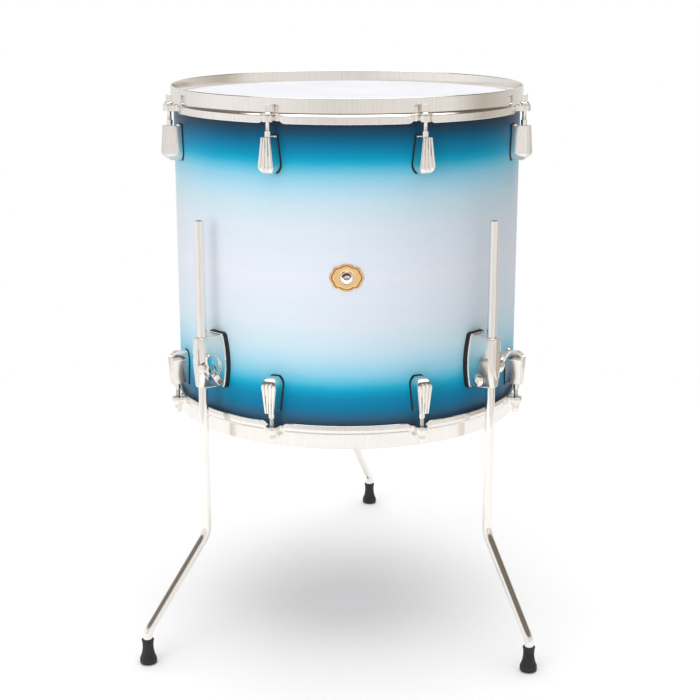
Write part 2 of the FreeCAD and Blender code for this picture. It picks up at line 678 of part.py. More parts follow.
def make_hoop(end, placement):
    """A cast hoop: a wall above the head, a skirt outside the flesh hoop, and an ear for each rod."""
    body = new_body(end + "_hoop")
    rim_round = "(sizes.hoop_wall - sizes.hoop_inner) / 2"
    skirt_round = "(sizes.skirt_outer - sizes.skirt_inner) / 2"
    sketch = new_sketch(body, "XZ_Plane", "Section")
    outline(sketch, (
        (of("hoop_inner"), of("press_face")),
        (of("skirt_inner"), of("press_face")),
        (of("skirt_inner"), "sizes.skirt_low + " + skirt_round, skirt_round + " + sizes.arc_ease", -1),
        (of("skirt_outer"), "sizes.skirt_low + " + skirt_round),
        (of("skirt_outer"), of("skirt_side"), of("shoulder_round"), -1),
        ("sizes.skirt_outer - sizes.shoulder_reach", of("skirt_shoulder"), of("shoulder_sweep"), 1),
        (of("hoop_wall"), of("wall_foot")),
        (of("hoop_wall"), "sizes.rim_high - " + rim_round, rim_round + " + sizes.arc_ease", -1),
        (of("hoop_inner"), "sizes.rim_high - " + rim_round),
    ))
    turned(body, "Revolution", sketch)

    sketch = new_sketch(body, "YZ_Plane", "Arch", out="sizes.skirt_inner - sizes.overcut")
    foot = of("arch_foot")
    half = of("arch_half")
    low = of("skirt_low")
    outline(sketch, (
        (foot, low + " - sizes.overcut"),
        (foot, low, of("arch_round"), 1),
        (half, of("ear_low")),
        ("-" + half, of("ear_low"), of("arch_round"), 1),
        ("-" + foot, low),
        ("-" + foot, low + " - sizes.overcut"),
    ))
    deep = "sizes.skirt_outer - sizes.skirt_inner + 2 * sizes.overcut"
    arch = pocket(body, sketch, deep, forward=True)
    around(body, [arch])

    reach = of("rod_circle")
    wide = of("ear_half")
    foot = of("ear_foot_half")
    sketch = new_sketch(body, "XY_Plane", "Ear", out=of("ear_low"))
    outline(sketch, (
        (of("ear_root"), "-" + foot),
        (of("ear_foot_out"), "-" + foot, of("ear_flare"), 1),
        (of("ear_side"), "-" + wide),
        (reach, "-" + wide, wide, -1),
        (reach + " + sizes.ear_half", "0", wide, -1),
        (reach, wide),
        (of("ear_side"), wide, of("ear_flare"), 1),
        (of("ear_foot_out"), foot),
        (of("ear_root"), foot),
    ))
    ear = pad(body, sketch, "sizes.ear_high - sizes.ear_low")
    around(body, [ear])

    sketch = new_sketch(body, "XY_Plane", "RodHole", out="sizes.ear_low - sizes.overcut")
    circle(sketch, reach, "0", of("ear_hole"))
    deep = "sizes.ear_high - sizes.ear_low + 2 * sizes.overcut"
    hole = pocket(body, sketch, deep, forward=True)
    around(body, [hole])
    keep(body, placement)


# ---------------------------------------------------------------- tension rods

def make_rod(end, placement, number):
    """A rod with a square head on a round flange, turned to an angle of its own."""
    step = 2 * HALF_STEP * number
    head_turn = HEAD_TURNS[end] + HEAD_TURN_STEP * number
    flange_low = "sizes.ear_high + sizes.washer_thick"
    shaft = doc.addObject("Part::Cylinder", "Shaft")
    shaft.setExpression("Radius", of("rod_radius"))
    shaft.setExpression("Height", flange_low + " + sizes.rod_overlap - sizes.rod_end")
    shaft.setExpression("Placement.Base.z", of("rod_end"))
    flange = doc.addObject("Part::Cylinder", "Flange")
    flange.setExpression("Radius", of("rod_flange"))
    flange.setExpression("Height", of("rod_flange_thick"))
    flange.setExpression("Placement.Base.z", flange_low)
    head = doc.addObject("Part::Box", "Head")
    head.setExpression("Length", of("rod_square"))
    head.setExpression("Width", of("rod_square"))
    head.setExpression("Height", "sizes.rod_head + sizes.rod_overlap")
    head.setExpression("Placement.Base.x", "-sizes.rod_square / 2")
    head.setExpression("Placement.Base.y", "-sizes.rod_square / 2")
    flange_high = flange_low + " + sizes.rod_flange_thick"
    head.setExpression("Placement.Base.z", flange_high + " - sizes.rod_overlap")
    rod = doc.addObject("Part::MultiFuse", "Rod")
    rod.Label = "%s_rod_%d" % (end, number + 1)
    rod.Shapes = [shaft, flange, head]
    around_drum = Placement(Vector(), Rotation(Vector(0, 0, 1), step))
    out = Placement(Vector(value(of("rod_circle")), 0, 0), Rotation(Vector(0, 0, 1), head_turn))
    keep(rod, placement.multiply(around_drum).multiply(out))


def make_washers(end, placement):
    body = new_body(end + "_rod_washers")
    sketch = new_sketch(body, "XY_Plane", "Washer", out=of("ear_high"))
    circle(sketch, of("rod_circle"), "0", of("washer_radius"))
    circle(sketch, of("rod_circle"), "0", of("washer_bore"))
    pad(body, sketch, of("washer_thick"))
    around(body)
    keep(body, placement)


# ---------------------------------------------------------------- lugs

LUG_SPAN = ("sizes.lug_low - sizes.overcut", "sizes.lug_high + sizes.overcut")


def lug_outline(sketch, border="0"):
    """A lug seen from in front: narrow at the hoop end, wide and round at the far end."""
    high = "sizes.lug_high + sizes.lug_tip + " + border
    low = "sizes.lug_low - " + border
    half_high = "(sizes.lug_half_high + %s)" % border
    half_low = "(sizes.lug_half_low + %s)" % border
    half_end = "(sizes.lug_half_end + %s)" % border
    outline(sketch, (
        (half_high, high),
        ("-" + half_high, high),
        ("-" + half_low, of("lug_wide_at"), of("lug_side_bow"), -1),
        ("-" + half_end, low),
        (half_end, low, of("lug_side_bow"), -1),
        (half_low, of("lug_wide_at")),
    ))


def lug_surround(sketch):
    """A rectangle well outside a lug, so that a cut between it and the lug's outline trims the rest."""
    rectangle(sketch, "-" + of("margin"), of("margin"),
              "sizes.lug_low - sizes.margin", "sizes.lug_high + sizes.margin")


def make_lugs(end, placement):
    """Eight castings: a tapered, domed body with four fanned ribs, a scoop and a nut pocket."""
    body = new_body(end + "_lugs")
    back = "sizes.lug_back - sizes.overcut"
    plate = "sizes.lug_back + sizes.lug_plate"
    top = "sizes.lug_high + sizes.lug_tip"
    sketch = new_sketch(body, "XZ_Plane", "Side")
    outline(sketch, (
        (back, of("lug_low")),
        (of("lug_dome_start"), of("lug_low"), of("lug_dome"), -1),
        (of("lug_front_low"), of("lug_wide_at")),
        (of("lug_front_high"), of("lug_high")),
        (of("scoop_start"), of("lug_high"), of("scoop_round"), 1),
        (plate, top),
        (back, top),
    ))
    pad(body, sketch, "2 * (sizes.lug_half_low + sizes.overcut)", symmetric=True)

    lean = math.degrees(math.atan2(
        value("sizes.lug_front_high - sizes.lug_front_low"),
        value("sizes.lug_high - sizes.lug_wide_at")))
    for rib in RIBS:
        centre_high = "%g * sizes.rib_pitch_high" % rib
        centre_low = "%g * sizes.rib_pitch_low" % rib
        later = abs(rib) - abs(RIBS[1])
        toe = "sizes.rib_toe + %g * sizes.rib_toe_step - sizes.lug_high" % later
        sketch = body.newObject("Sketcher::SketchObject", "Rib")
        sketch.AttachmentSupport = (plane(body, "YZ_Plane"), "")
        sketch.MapMode = "FlatFace"
        corner = Vector(0, value(of("lug_high")), value("sizes.lug_front_high + sizes.rib_rise"))
        sketch.AttachmentOffset = Placement(corner, Rotation(Vector(1, 0, 0), lean))
        outline(sketch, (
            ("%s + sizes.rib_half_high" % centre_high, "0"),
            ("%s - sizes.rib_half_high" % centre_high, "0"),
            ("%s - sizes.rib_half_low" % centre_low, toe, "sizes.rib_half_low + sizes.arc_ease", -1),
            ("%s + sizes.rib_half_low" % centre_low, toe),
        ))
        pad(body, sketch, of("rib_root"), back=True)

    behind = "sizes.lug_back - sizes.overcut"
    sketch = new_sketch(body, "YZ_Plane", "Front", out=behind)
    lug_surround(sketch)
    lug_outline(sketch)
    pocket(body, sketch, "2 * sizes.margin", forward=True)
    sketch = new_sketch(body, "XZ_Plane", "Back")
    rectangle(sketch, "sizes.lug_back - sizes.margin", of("lug_back"), *LUG_SPAN)
    turned(body, "Groove", sketch)

    sketch = new_sketch(body, "YZ_Plane", "NutPocket", out=behind)
    half = of("nut_pocket_half")
    rectangle(sketch, "-" + half, half, of("nut_pocket_low"), of("nut_pocket_high"))
    deep = "sizes.rod_circle + sizes.nut_pocket_half - (%s)" % behind
    pocket(body, sketch, deep, forward=True)
    sketch = new_sketch(body, "XY_Plane", "NeckHole", out="sizes.nut_pocket_high - sizes.tap_depth")
    circle(sketch, of("rod_circle"), "0", of("neck_hole"))
    pocket(body, sketch, of("margin"), forward=True)
    sketch = new_sketch(body, "XY_Plane", "RodRoom", out="sizes.rod_end - sizes.tap_depth")
    circle(sketch, of("rod_circle"), "0", "sizes.rod_radius + sizes.rod_room")
    pocket(body, sketch, "sizes.nut_pocket_high - sizes.rod_end", forward=True)
    sketch = new_sketch(body, "YZ_Plane", "Screws", out=behind)
    for alias in LUG_SCREWS:
        circle(sketch, "0", of(alias), "sizes.lug_screw + sizes.tap_fit")
    deep = "sizes.lug_screw_tip + sizes.tap_depth - (%s)" % behind
    pocket(body, sketch, deep, forward=True)
    around(body)
    keep(body, placement)


def make_lug_gaskets(end, placement):
    body = new_body(end + "_lug_gaskets")
    border = of("lug_gasket_border")
    curved_plate(body, "XZ_Plane", of("drum_radius"), of("lug_back"), *LUG_SPAN, LUG_SWEEP)
    behind = "sizes.lug_back - sizes.margin"
    sketch = new_sketch(body, "YZ_Plane", "Outline", out=behind)
    lug_surround(sketch)
    lug_outline(sketch, border)
    pocket(body, sketch, "2 * sizes.margin", forward=True)
    sketch = new_sketch(body, "YZ_Plane", "Holes", out=behind)
    half = of("nut_pocket_half")
    rectangle(sketch, "-" + half, half, of("nut_pocket_low"), of("nut_pocket_high"))
    for alias in LUG_SCREWS:
        circle(sketch, "0", of(alias), of("lug_hole"))
    pocket(body, sketch, "2 * sizes.margin", forward=True)
    around(body)
    keep(body, placement)


def make_swivel_nuts(end, placement):
    """A threaded insert in each lug, whose neck stands out of the casting."""
    body = new_body(end + "_swivel_nuts")
    reach = of("rod_circle")
    sketch = new_sketch(body, "XY_Plane", "Body", out=of("nut_low"))
    circle(sketch, reach, "0", of("nut_body"))
    circle(sketch, reach, "0", of("nut_bore"))
    pad(body, sketch, "sizes.nut_shoulder - sizes.nut_low")
    sketch = new_sketch(body, "XY_Plane", "Neck", out=of("nut_shoulder"))
    circle(sketch, reach, "0", of("nut_neck"))
    circle(sketch, reach, "0", of("nut_bore"))
    pad(body, sketch, "sizes.nut_high - sizes.nut_shoulder")
    around(body)
    keep(body, placement)


def level_screw(body, up, tip, shank, head, flange):
    """A flanged screw driven outwards through the drum shell, drawn about a level axis."""
    steps = (
        (shank, "%s - (%s)" % (tip, INSIDE_SEAT), False),
        (flange, of("screw_flange_thick"), True),
        (head, of("screw_head_tall"), True),
    )
    for radius, length, inwards in steps:
        sketch = new_sketch(body, "YZ_Plane", "Step", out=INSIDE_SEAT)
        circle(sketch, "0", up, radius)
        pad(body, sketch, length, back=inwards)


def make_lug_screws(end, placement):
    body = new_body(end + "_lug_screws")
    sizes = (of("lug_screw_tip"), of("lug_screw"), of("lug_screw_head"), of("lug_screw_flange"))
    for alias in LUG_SCREWS:
        level_screw(body, of(alias), *sizes)
    around(body)
    keep(body, placement)


# ---------------------------------------------------------------- leg brackets

def barrel(sketch, half_high, half_low, low, high, bow, border="0"):
    """An upright outline with bowed sides and small round corners."""
    corner = "(%s + %s)" % (of("bracket_corner"), border)
    top = "(%s + %s)" % (high, border)
    foot = "(%s - %s)" % (low, border)
    wide_high = "(%s + %s)" % (half_high, border)
    wide_low = "(%s + %s)" % (half_low, border)
    outline(sketch, (
        ("%s - %s" % (wide_high, corner), top),
        ("-(%s - %s)" % (wide_high, corner), top, corner, -1),
        ("-" + wide_high, "%s - %s" % (top, corner), bow, -1),
        ("-" + wide_low, "%s + %s" % (foot, corner), corner, -1),
        ("-(%s - %s)" % (wide_low, corner), foot),
        ("%s - %s" % (wide_low, corner), foot, corner, -1),
        (wide_low, "%s + %s" % (foot, corner), bow, -1),
        (wide_high, "%s - %s" % (top, corner), corner, -1),
    ))


BASE = ("sizes.base_half_high", "sizes.base_half_low")
BASE_SPAN = ("sizes.flange_low + sizes.flange_border", "sizes.flange_high - sizes.flange_border")


def loft(body, first, second):
    feature = body.newObject("PartDesign::AdditiveLoft", "Loft")
    feature.Profile = first
    feature.Sections = [second]
    feature.Ruled = True
    return checked(body, feature, True)


def make_leg_bracket(name, angle):
    """A casting that narrows from a flange on the drum to a ribbed front around the leg."""
    body = new_body("leg_bracket_" + name)
    border = of("flange_border")
    sketch = new_sketch(body, "YZ_Plane", "Flange", out=of("gasket_front"))
    barrel(sketch, *BASE, *BASE_SPAN, of("base_bow"), border)
    pad(body, sketch, "sizes.flange_front - sizes.gasket_front")

    base = new_sketch(body, "YZ_Plane", "Base", out=of("flange_front"))
    barrel(base, *BASE, *BASE_SPAN, of("base_bow"))
    corner = new_sketch(body, "YZ_Plane", "Corner", out=of("corner_front"))
    barrel(corner, of("front_half_high"), of("front_half_low"),
           of("front_low"), of("front_high"), of("front_bow"))
    loft(body, base, corner)
    again = new_sketch(body, "YZ_Plane", "CornerAgain", out=of("corner_front"))
    barrel(again, of("front_half_high"), of("front_half_low"),
           of("front_low"), of("front_high"), of("front_bow"))
    face = new_sketch(body, "YZ_Plane", "Face", out=of("face_front"))
    barrel(face, of("face_half_high"), of("face_half_low"),
           of("face_low"), of("face_high"), of("face_bow"))
    loft(body, again, face)

    sketch = new_sketch(body, "YZ_Plane", "Keel", out=of("corner_front"))
    half = of("keel_half")
    outline(sketch, (
        (of("keel_half_high"), of("face_high")),
        ("-" + of("keel_half_high"), of("face_high")),
        ("-" + half, of("keel_taper"), of("keel_bow"), -1),
        ("0", of("keel_toe"), of("keel_bow"), -1),
        (half, of("keel_taper")),
    ))
    pad(body, sketch, "sizes.keel_front - sizes.corner_front")

    clamp = of("clamp_height")
    out = of("leg_circle")
    sketch = new_sketch(body, "XZ_Plane", "Boss")
    circle(sketch, out, clamp, of("boss_radius"))
    pad(body, sketch, of("boss_face"), back=True)
    sketch = new_sketch(body, "XZ_Plane", "BossFace", out="-sizes.boss_face")
    circle(sketch, out, clamp, "sizes.boss_radius + sizes.overcut")
    pocket(body, sketch, of("margin"))
    sketch = new_sketch(body, "XY_Plane", "Bore", out="sizes.flange_low - sizes.overcut")
    circle(sketch, out, "0", of("leg_bore"))
    tall = "sizes.flange_high - sizes.flange_low + 2 * sizes.overcut"
    pocket(body, sketch, tall, forward=True)
    sketch = new_sketch(body, "XY_Plane", "EyePocket", out=clamp)
    deep = of("eye_pocket")
    centre = of("eye_pocket_centre")
    outline(sketch, (
        ("sizes.gasket_front - sizes.overcut", "-" + deep),
        (centre, "-" + deep, deep, -1),
        ("%s + %s" % (centre, deep), "0", deep, -1),
        (centre, deep),
        ("sizes.gasket_front - sizes.overcut", deep),
    ))
    pocket(body, sketch, of("eye_pocket_tall"), symmetric=True)
    sketch = new_sketch(body, "XZ_Plane", "ShankHole")
    circle(sketch, out, clamp, of("shank_hole"))
    pocket(body, sketch, of("margin"))
    behind = "sizes.gasket_front - sizes.overcut"
    sketch = new_sketch(body, "YZ_Plane", "MountHoles", out=behind)
    for alias in MOUNT_SCREWS:
        circle(sketch, "0", of(alias), of("mount_screw_hole"))
    deep = "sizes.mount_screw_tip + sizes.tap_depth - (%s)" % behind
    pocket(body, sketch, deep, forward=True)

    cut_side_screw(body)
    keep(body, bracket_frame(angle))


def side_screw_frame():
    """The side screw's own frame: its origin on the seat, its Z out of the casting's side face."""
    place = Vector(value(of("side_screw_out")), -value(of("side_screw_face")),
                   value(of("side_screw_height")))
    level = Rotation(Vector(1, 0, 0), 90)
    lean = Rotation(Vector(0, 0, 1), value(of("side_screw_tilt")))
    return Placement(place, lean.multiply(level))


def cut_side_screw(body):
    """A round seat and a tapped hole in the casting's plain side."""
    frame = side_screw_frame()
    steps = (
        ("sizes.side_screw_head + sizes.side_screw_room", of("overcut"), True),
        ("sizes.side_screw_shank + sizes.tap_fit", "sizes.side_screw_long + sizes.tap_depth", False),
    )
    for radius, length, forward in steps:
        sketch = body.newObject("Sketcher::SketchObject", "SideScrew")
        sketch.AttachmentSupport = (plane(body, "XY_Plane"), "")
        sketch.MapMode = "FlatFace"
        sketch.AttachmentOffset = frame
        circle(sketch, "0", "0", radius)
        pocket(body, sketch, length, forward=forward)


def make_side_screw(angle):
    """A pan-head screw with a cross recess."""
    body = new_body("SideScrew")
    sketch = new_sketch(body, "XZ_Plane", "Section")
    head = of("side_screw_head")
    tall = of("side_screw_tall")
    shank = of("side_screw_shank")
    outline(sketch, (
        ("0", "-sizes.side_screw_long"),
        (shank, "-sizes.side_screw_long"),
        (shank, "0"),
        (head, "0"),
        (head, of("side_screw_edge"), of("side_screw_dome"), -1),
        (of("side_screw_top"), tall),
        ("0", tall),
    ))
    turned(body, "Revolution", sketch)
    half_wide = "sizes.cross_wide / 2"
    half_long = "sizes.cross_long / 2"
    for across, up in ((half_wide, half_long), (half_long, half_wide)):
        sketch = new_sketch(body, "XY_Plane", "Cross", out=tall)
        rectangle(sketch, "-" + across, across, "-" + up, up)
        pocket(body, sketch, of("cross_deep"))
    body.Placement = bracket_frame(angle).multiply(side_screw_frame())
    return body


def make_bracket_gasket(angle):
    body = new_body("BracketGasket")
    border = "(sizes.flange_border + sizes.gasket_border)"
    behind = "sizes.drum_radius - sizes.overcut"
    sketch = new_sketch(body, "YZ_Plane", "Outline", out=behind)
    barrel(sketch, *BASE, *BASE_SPAN, of("base_bow"), border)
    for alias in MOUNT_SCREWS:
        circle(sketch, "0", of(alias), of("bracket_hole"))
    pad(body, sketch, "sizes.gasket_front - (%s)" % behind)
    sketch = new_sketch(body, "XZ_Plane", "Drum")
    rectangle(sketch, "sizes.drum_radius - sizes.margin", of("drum_radius"),
              "sizes.flange_low - sizes.margin", "sizes.flange_high + sizes.margin")
    turned(body, "Groove", sketch)
    body.Placement = bracket_frame(angle)
    return body


def make_mount_screws(angle):
    body = new_body("MountScrews")
    sizes = (of("mount_screw_tip"), of("mount_screw"), of("mount_screw_head"),
             of("mount_screw_flange"))
    for alias in MOUNT_SCREWS:
        level_screw(body, of(alias), *sizes)
    body.Placement = bracket_frame(angle)
    return body


def keep_group(label, pieces):
    """One node for the same small piece at all three brackets."""
    group = doc.addObject("Part::Compound", "Group")
    group.Label = label
    group.Links = pieces
    keep(group, Placement())


# ---------------------------------------------------------------- clamps

def make_eyebolt(name, angle):
    """An eye around the leg, with a threaded shank that the wing nut draws out."""
    body = new_body("eyebolt_" + name)
    out = of("leg_circle")
    sketch = new_sketch(body, "XY_Plane", "Eye", out=of("clamp_height"))
    circle(sketch, out, of("eye_offset"), of("eye_outer"))
    pad(body, sketch, of("eye_tall"), symmetric=True)
    sketch = new_sketch(body, "XZ_Plane", "Shank", out="-sizes.eye_root")
    circle(sketch, out, of("clamp_height"), of("shank_radius"))
    pad(body, sketch, "sizes.shank_tip - sizes.eye_root", back=True)
    sketch = new_sketch(body, "XY_Plane", "Hole", out=of("clamp_height"))
    circle(sketch, out, of("eye_offset"), of("eye_inner"))
    pocket(body, sketch, of("margin"), symmetric=True)
    keep(body, bracket_frame(angle))


def make_wing_nut(name, angle):
    """A hub with two swept wings, drawn about its own axis with the leg's axis at its origin."""
    body = new_body("wing_nut_" + name)
    base = of("wing_base")
    top = of("wing_hub_top")
    span = of("wing_span")
    under = "sizes.wing_base + sizes.wing_lift"
    side = (
        (of("wing_root"), under),
        (of("wing_knee"), under),
        (span + " - sizes.wing_tip_in", of("wing_low"), of("wing_tip_round"), -1),
        (span, "sizes.wing_high - sizes.wing_tip_drop", of("wing_tip_top"), -1),
        (span + " - sizes.wing_tip_back", of("wing_high"), of("wing_sweep"), 1),
        (of("wing_knee"), of("wing_crest")),
        (of("wing_root"), top),
    )
    mirrored = []
    for index in range(len(side) - 1, -1, -1):
        place = ("-(%s)" % side[index][0], side[index][1])
        before = side[index - 1][2:] if index else ()
        mirrored.append(place + before)
    sketch = new_sketch(body, "XZ_Plane", "Wings")
    outline(sketch, side + tuple(mirrored))
    pad(body, sketch, "2 * sizes.wing_half", symmetric=True)
    sketch = new_sketch(body, "XY_Plane", "Plan")
    blank = "2 * sizes.margin"
    rectangle(sketch, "-" + blank, blank, "-" + blank, blank)
    half = of("wing_half")
    straight = "(sizes.wing_span - sizes.wing_half)"
    outline(sketch, (
        (straight, "-" + half, half, -1),
        (span, "0", half, -1),
        (straight, half),
        ("-" + straight, half, half, -1),
        ("-" + span, "0", half, -1),
        ("-" + straight, "-" + half),
    ))
    pocket(body, sketch, "2 * sizes.margin", forward=True)
    sketch = new_sketch(body, "XY_Plane", "Hub", out=base)
    circle(sketch, "0", "0", of("wing_hub"))
    pad(body, sketch, "%s - %s" % (top, base))
    sketch = new_sketch(body, "XY_Plane", "Bore", out=base + " - sizes.overcut")
    circle(sketch, "0", "0", of("wing_bore"))
    pocket(body, sketch, of("margin"), forward=True)
    sketch = new_sketch(body, "XY_Plane", "Dish", out=of("wing_dish_floor"))
    circle(sketch, "0", "0", of("wing_dish"))
    pocket(body, sketch, of("margin"), forward=True)
    keep(body, bracket_frame(angle).multiply(wing_nut_frame()))


def wing_nut_frame():
    """The wing nut's frame: Z along the eyebolt, X along the wings, which lean outwards."""
    tilt = math.radians(value(of("wing_tilt")))
    along = Vector(math.sin(tilt), 0, math.cos(tilt))
    axis = Vector(0, 1, 0)
    width = axis.cross(along)
    place = Vector(value(of("leg_circle")), 0, value(of("clamp_height")))
    return Placement(place, Rotation(along, width, axis, "ZXY"))


# ---------------------------------------------------------------- legs

def leg_frame(angle, swivel):
    """The floor frame under a leg's upright part, with X towards its foot."""
    place = AXIS + heading(angle) * value(of("leg_circle"))
    return Placement(place, Rotation(Vector(0, 0, 1), angle + value(of(swivel)) - 90))


def make_leg_rod(name, angle, swivel):
    """A tube with two bends, from the bracket out and down into its foot."""
    body = new_body("leg_rod_" + name)
    slope = "atan(sizes.leg_splay / (sizes.knee_height - sizes.ankle_height))"
    knee = "(sizes.knee_bend * tan(%s / 2))" % slope
    ankle = "(sizes.ankle_bend * tan(%s / 2))" % slope
    path = new_sketch(body, "XZ_Plane", "Path")
    outline(path, (
        ("0", of("leg_high")),
        ("0", "sizes.knee_height + " + knee, of("knee_bend"), -1),
        ("%s * sin(%s)" % (knee, slope), "sizes.knee_height - %s * cos(%s)" % (knee, slope)),
        ("sizes.leg_splay - %s * sin(%s)" % (ankle, slope),
         "sizes.ankle_height + %s * cos(%s)" % (ankle, slope), of("ankle_bend"), 1),
        (of("leg_splay"), "sizes.ankle_height - " + ankle),
        (of("leg_splay"), of("leg_foot_end")),
    ), closed=False)
    ring = new_sketch(body, "XY_Plane", "Ring", out=of("leg_high"))
    circle(ring, "0", "0", of("leg_radius"))
    circle(ring, "0", "0", of("leg_inner"))
    tube = body.newObject("PartDesign::AdditivePipe", "Tube")
    tube.Profile = ring
    tube.Spine = (path, ["Edge%d" % (number + 1) for number in range(path.GeometryCount)])
    checked(body, tube, True)
    keep(body, leg_frame(angle, swivel))


def make_end_plug(name, angle):
    """A plug pressed into the upper end of the leg's tube, a little below its rim."""
    body = new_body("leg_end_plug_" + name)
    high = "sizes.leg_high - sizes.plug_sunk"
    sketch = new_sketch(body, "XZ_Plane", "Section")
    outline(sketch, (
        ("0", high + " - sizes.plug_long"),
        (of("plug_radius"), high + " - sizes.plug_long"),
        (of("plug_radius"), high + " - sizes.plug_chamfer"),
        ("sizes.plug_radius - sizes.plug_chamfer", high),
        ("0", high),
    ))
    turned(body, "Revolution", sketch)
    place = AXIS + heading(angle) * value(of("leg_circle"))
    keep(body, Placement(place, Rotation()))


def make_foot(name, angle, swivel):
    """A bell of rubber pushed on the end of the leg."""
    body = new_body("leg_foot_" + name)
    sketch = new_sketch(body, "XZ_Plane", "Section")
    outline(sketch, (
        ("0", "0"),
        (of("foot_flat"), "0", of("foot_edge_round"), -1),
        (of("foot_radius"), of("foot_edge_high")),
        ("sizes.foot_radius - sizes.foot_side_in", of("foot_side_high"), of("foot_flare"), 1),
        (of("foot_neck"), "sizes.foot_high - sizes.foot_lip_round", of("foot_lip_round"), -1),
        ("sizes.foot_neck - sizes.foot_lip_in", of("foot_high")),
        (of("foot_bore"), of("foot_high")),
        (of("foot_bore"), of("foot_floor")),
        ("0", of("foot_floor")),
    ))
    turned(body, "Revolution", sketch)
    keep(body, Placement(AXIS + foot_place(angle, swivel), Rotation()))


# ---------------------------------------------------------------- assembly

make_drum_shell()
make_badge()
make_vent_grommet()
for end_name, end_place in ENDS:
    make_head_film(end_name, end_place)
    make_flesh_hoop(end_name, end_place)
    make_hoop(end_name, end_place)
    make_washers(end_name, end_place)
    make_lugs(end_name, end_place)
    make_lug_gaskets(end_name, end_place)
    make_swivel_nuts(end_name, end_place)
    make_lug_screws(end_name, end_place)
    for rod_number in range(int(value(of("rods_per_end")))):
        make_rod(end_name, end_place, rod_number)
for leg_name, leg_angle, leg_swivel in LEGS:
    make_leg_bracket(leg_name, leg_angle)
    make_eyebolt(leg_name, leg_angle)
    make_wing_nut(leg_name, leg_angle)
    make_leg_rod(leg_name, leg_angle, leg_swivel)
    make_end_plug(leg_name, leg_angle)
    make_foot(leg_name, leg_angle, leg_swivel)
angles = [angle for name, angle, swivel in LEGS]
keep_group("bracket_gaskets", [make_bracket_gasket(angle) for angle in angles])
keep_group("bracket_mounting_screws", [make_mount_screws(angle) for angle in angles])
keep_group("bracket_side_screws", [make_side_screw(angle) for angle in angles])
doc.recompute()

for thing in doc.Objects:
    if "Invalid" in thing.State or "Error" in thing.State:
        raise RuntimeError("%s is not right: %s" % (thing.Label, thing.State))
for piece in PARTS:
    if piece.Shape.isNull() or not piece.Shape.isValid():
        raise RuntimeError("%s has no sound shape" % piece.Label)

os.makedirs("parts", exist_ok=True)
for piece in PARTS:
    piece.Shape.exportStep(os.path.join("parts", piece.Label + ".step"))
    print(piece.Label, len(piece.Shape.Solids), "solids", round(piece.Shape.Volume), "mm3")
print(len(PARTS), "pieces")
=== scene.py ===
import json
import math

import bmesh
import bpy
from mathutils import Matrix, Vector


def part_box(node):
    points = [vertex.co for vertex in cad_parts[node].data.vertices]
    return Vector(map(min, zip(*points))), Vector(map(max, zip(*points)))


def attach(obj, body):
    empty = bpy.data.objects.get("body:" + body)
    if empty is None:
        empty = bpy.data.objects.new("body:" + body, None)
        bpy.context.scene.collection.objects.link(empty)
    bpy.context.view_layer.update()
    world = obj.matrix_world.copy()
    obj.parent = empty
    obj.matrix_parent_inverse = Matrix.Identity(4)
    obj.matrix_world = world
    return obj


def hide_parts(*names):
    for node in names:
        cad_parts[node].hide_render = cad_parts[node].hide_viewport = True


# The looks of a floor tom, built around its CAD frame. Everything is in metres, in the frame's own
# coordinates: the floor is at z = 0, and the drum stands upright on three legs.

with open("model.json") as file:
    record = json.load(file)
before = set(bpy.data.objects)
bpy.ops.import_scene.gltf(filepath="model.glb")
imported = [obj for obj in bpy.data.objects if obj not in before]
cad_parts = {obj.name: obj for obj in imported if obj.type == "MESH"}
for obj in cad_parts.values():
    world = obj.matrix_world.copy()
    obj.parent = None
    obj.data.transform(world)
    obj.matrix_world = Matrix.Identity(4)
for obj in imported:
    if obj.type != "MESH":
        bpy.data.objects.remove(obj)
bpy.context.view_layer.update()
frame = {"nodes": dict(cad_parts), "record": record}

NODES = frame["nodes"]
BODY_OF = {}
for body_name, node_names in frame["record"]["behaviour"]["bodies"].items():
    for node_name in node_names:
        BODY_OF[node_name] = body_name
SLOT_OF = {subpart["node"]: subpart["material_slot"] for subpart in frame["record"]["subparts"]}

MM = 0.001
SHELL_LOW, SHELL_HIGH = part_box("drum_shell")
AXIS = Vector(((SHELL_LOW.x + SHELL_HIGH.x) / 2, (SHELL_LOW.y + SHELL_HIGH.y) / 2, 0))
SHELL_RADIUS = (SHELL_HIGH.x - SHELL_LOW.x) / 2
BADGE_THICK = 0.6 * MM
BADGE_FACE = SHELL_RADIUS + BADGE_THICK
MIDDLE = AXIS + Vector((0, 0, (SHELL_LOW.z + SHELL_HIGH.z) / 2))
ENDS = ("batter", "resonant")
SIDES = ("left", "right", "rear")
RODS_PER_END = 8
WELD = 0.002 * MM  # vertices of a CAD mesh this close are one


# ---------------------------------------------------------------- camera

CAMERA_SENSOR = 36  # millimetres, like the lens
CAMERA_LENS = 75.91
CAMERA_PLACE = (0.0036, -1.7461, 0.7712)  # from the foot of the drum's axis
CAMERA_TILT = 14.74  # degrees below level


def make_camera():
    """A studio camera in front of the drum, a little above its upper hoop and tilted down."""
    data = bpy.data.cameras.new("Camera")
    data.sensor_width = CAMERA_SENSOR
    data.lens = CAMERA_LENS
    camera = bpy.data.objects.new("Camera", data)
    bpy.context.scene.collection.objects.link(camera)
    camera.location = AXIS + Vector(CAMERA_PLACE)
    camera.rotation_euler = (math.radians(90 - CAMERA_TILT), 0, 0)
    bpy.context.scene.camera = camera


# ---------------------------------------------------------------- nodes

def add_node(tree, kind, inputs=None, **settings):
    """A shader node with its settings, and its inputs given as values or as sockets to link."""
    made = tree.nodes.new("ShaderNode" + kind)
    for name, setting in settings.items():
        setattr(made, name, setting)
    for name, source in (inputs or {}).items():
        if isinstance(source, bpy.types.NodeSocket):
            tree.links.new(source, made.inputs[name])
        else:
            made.inputs[name].default_value = source
    return made


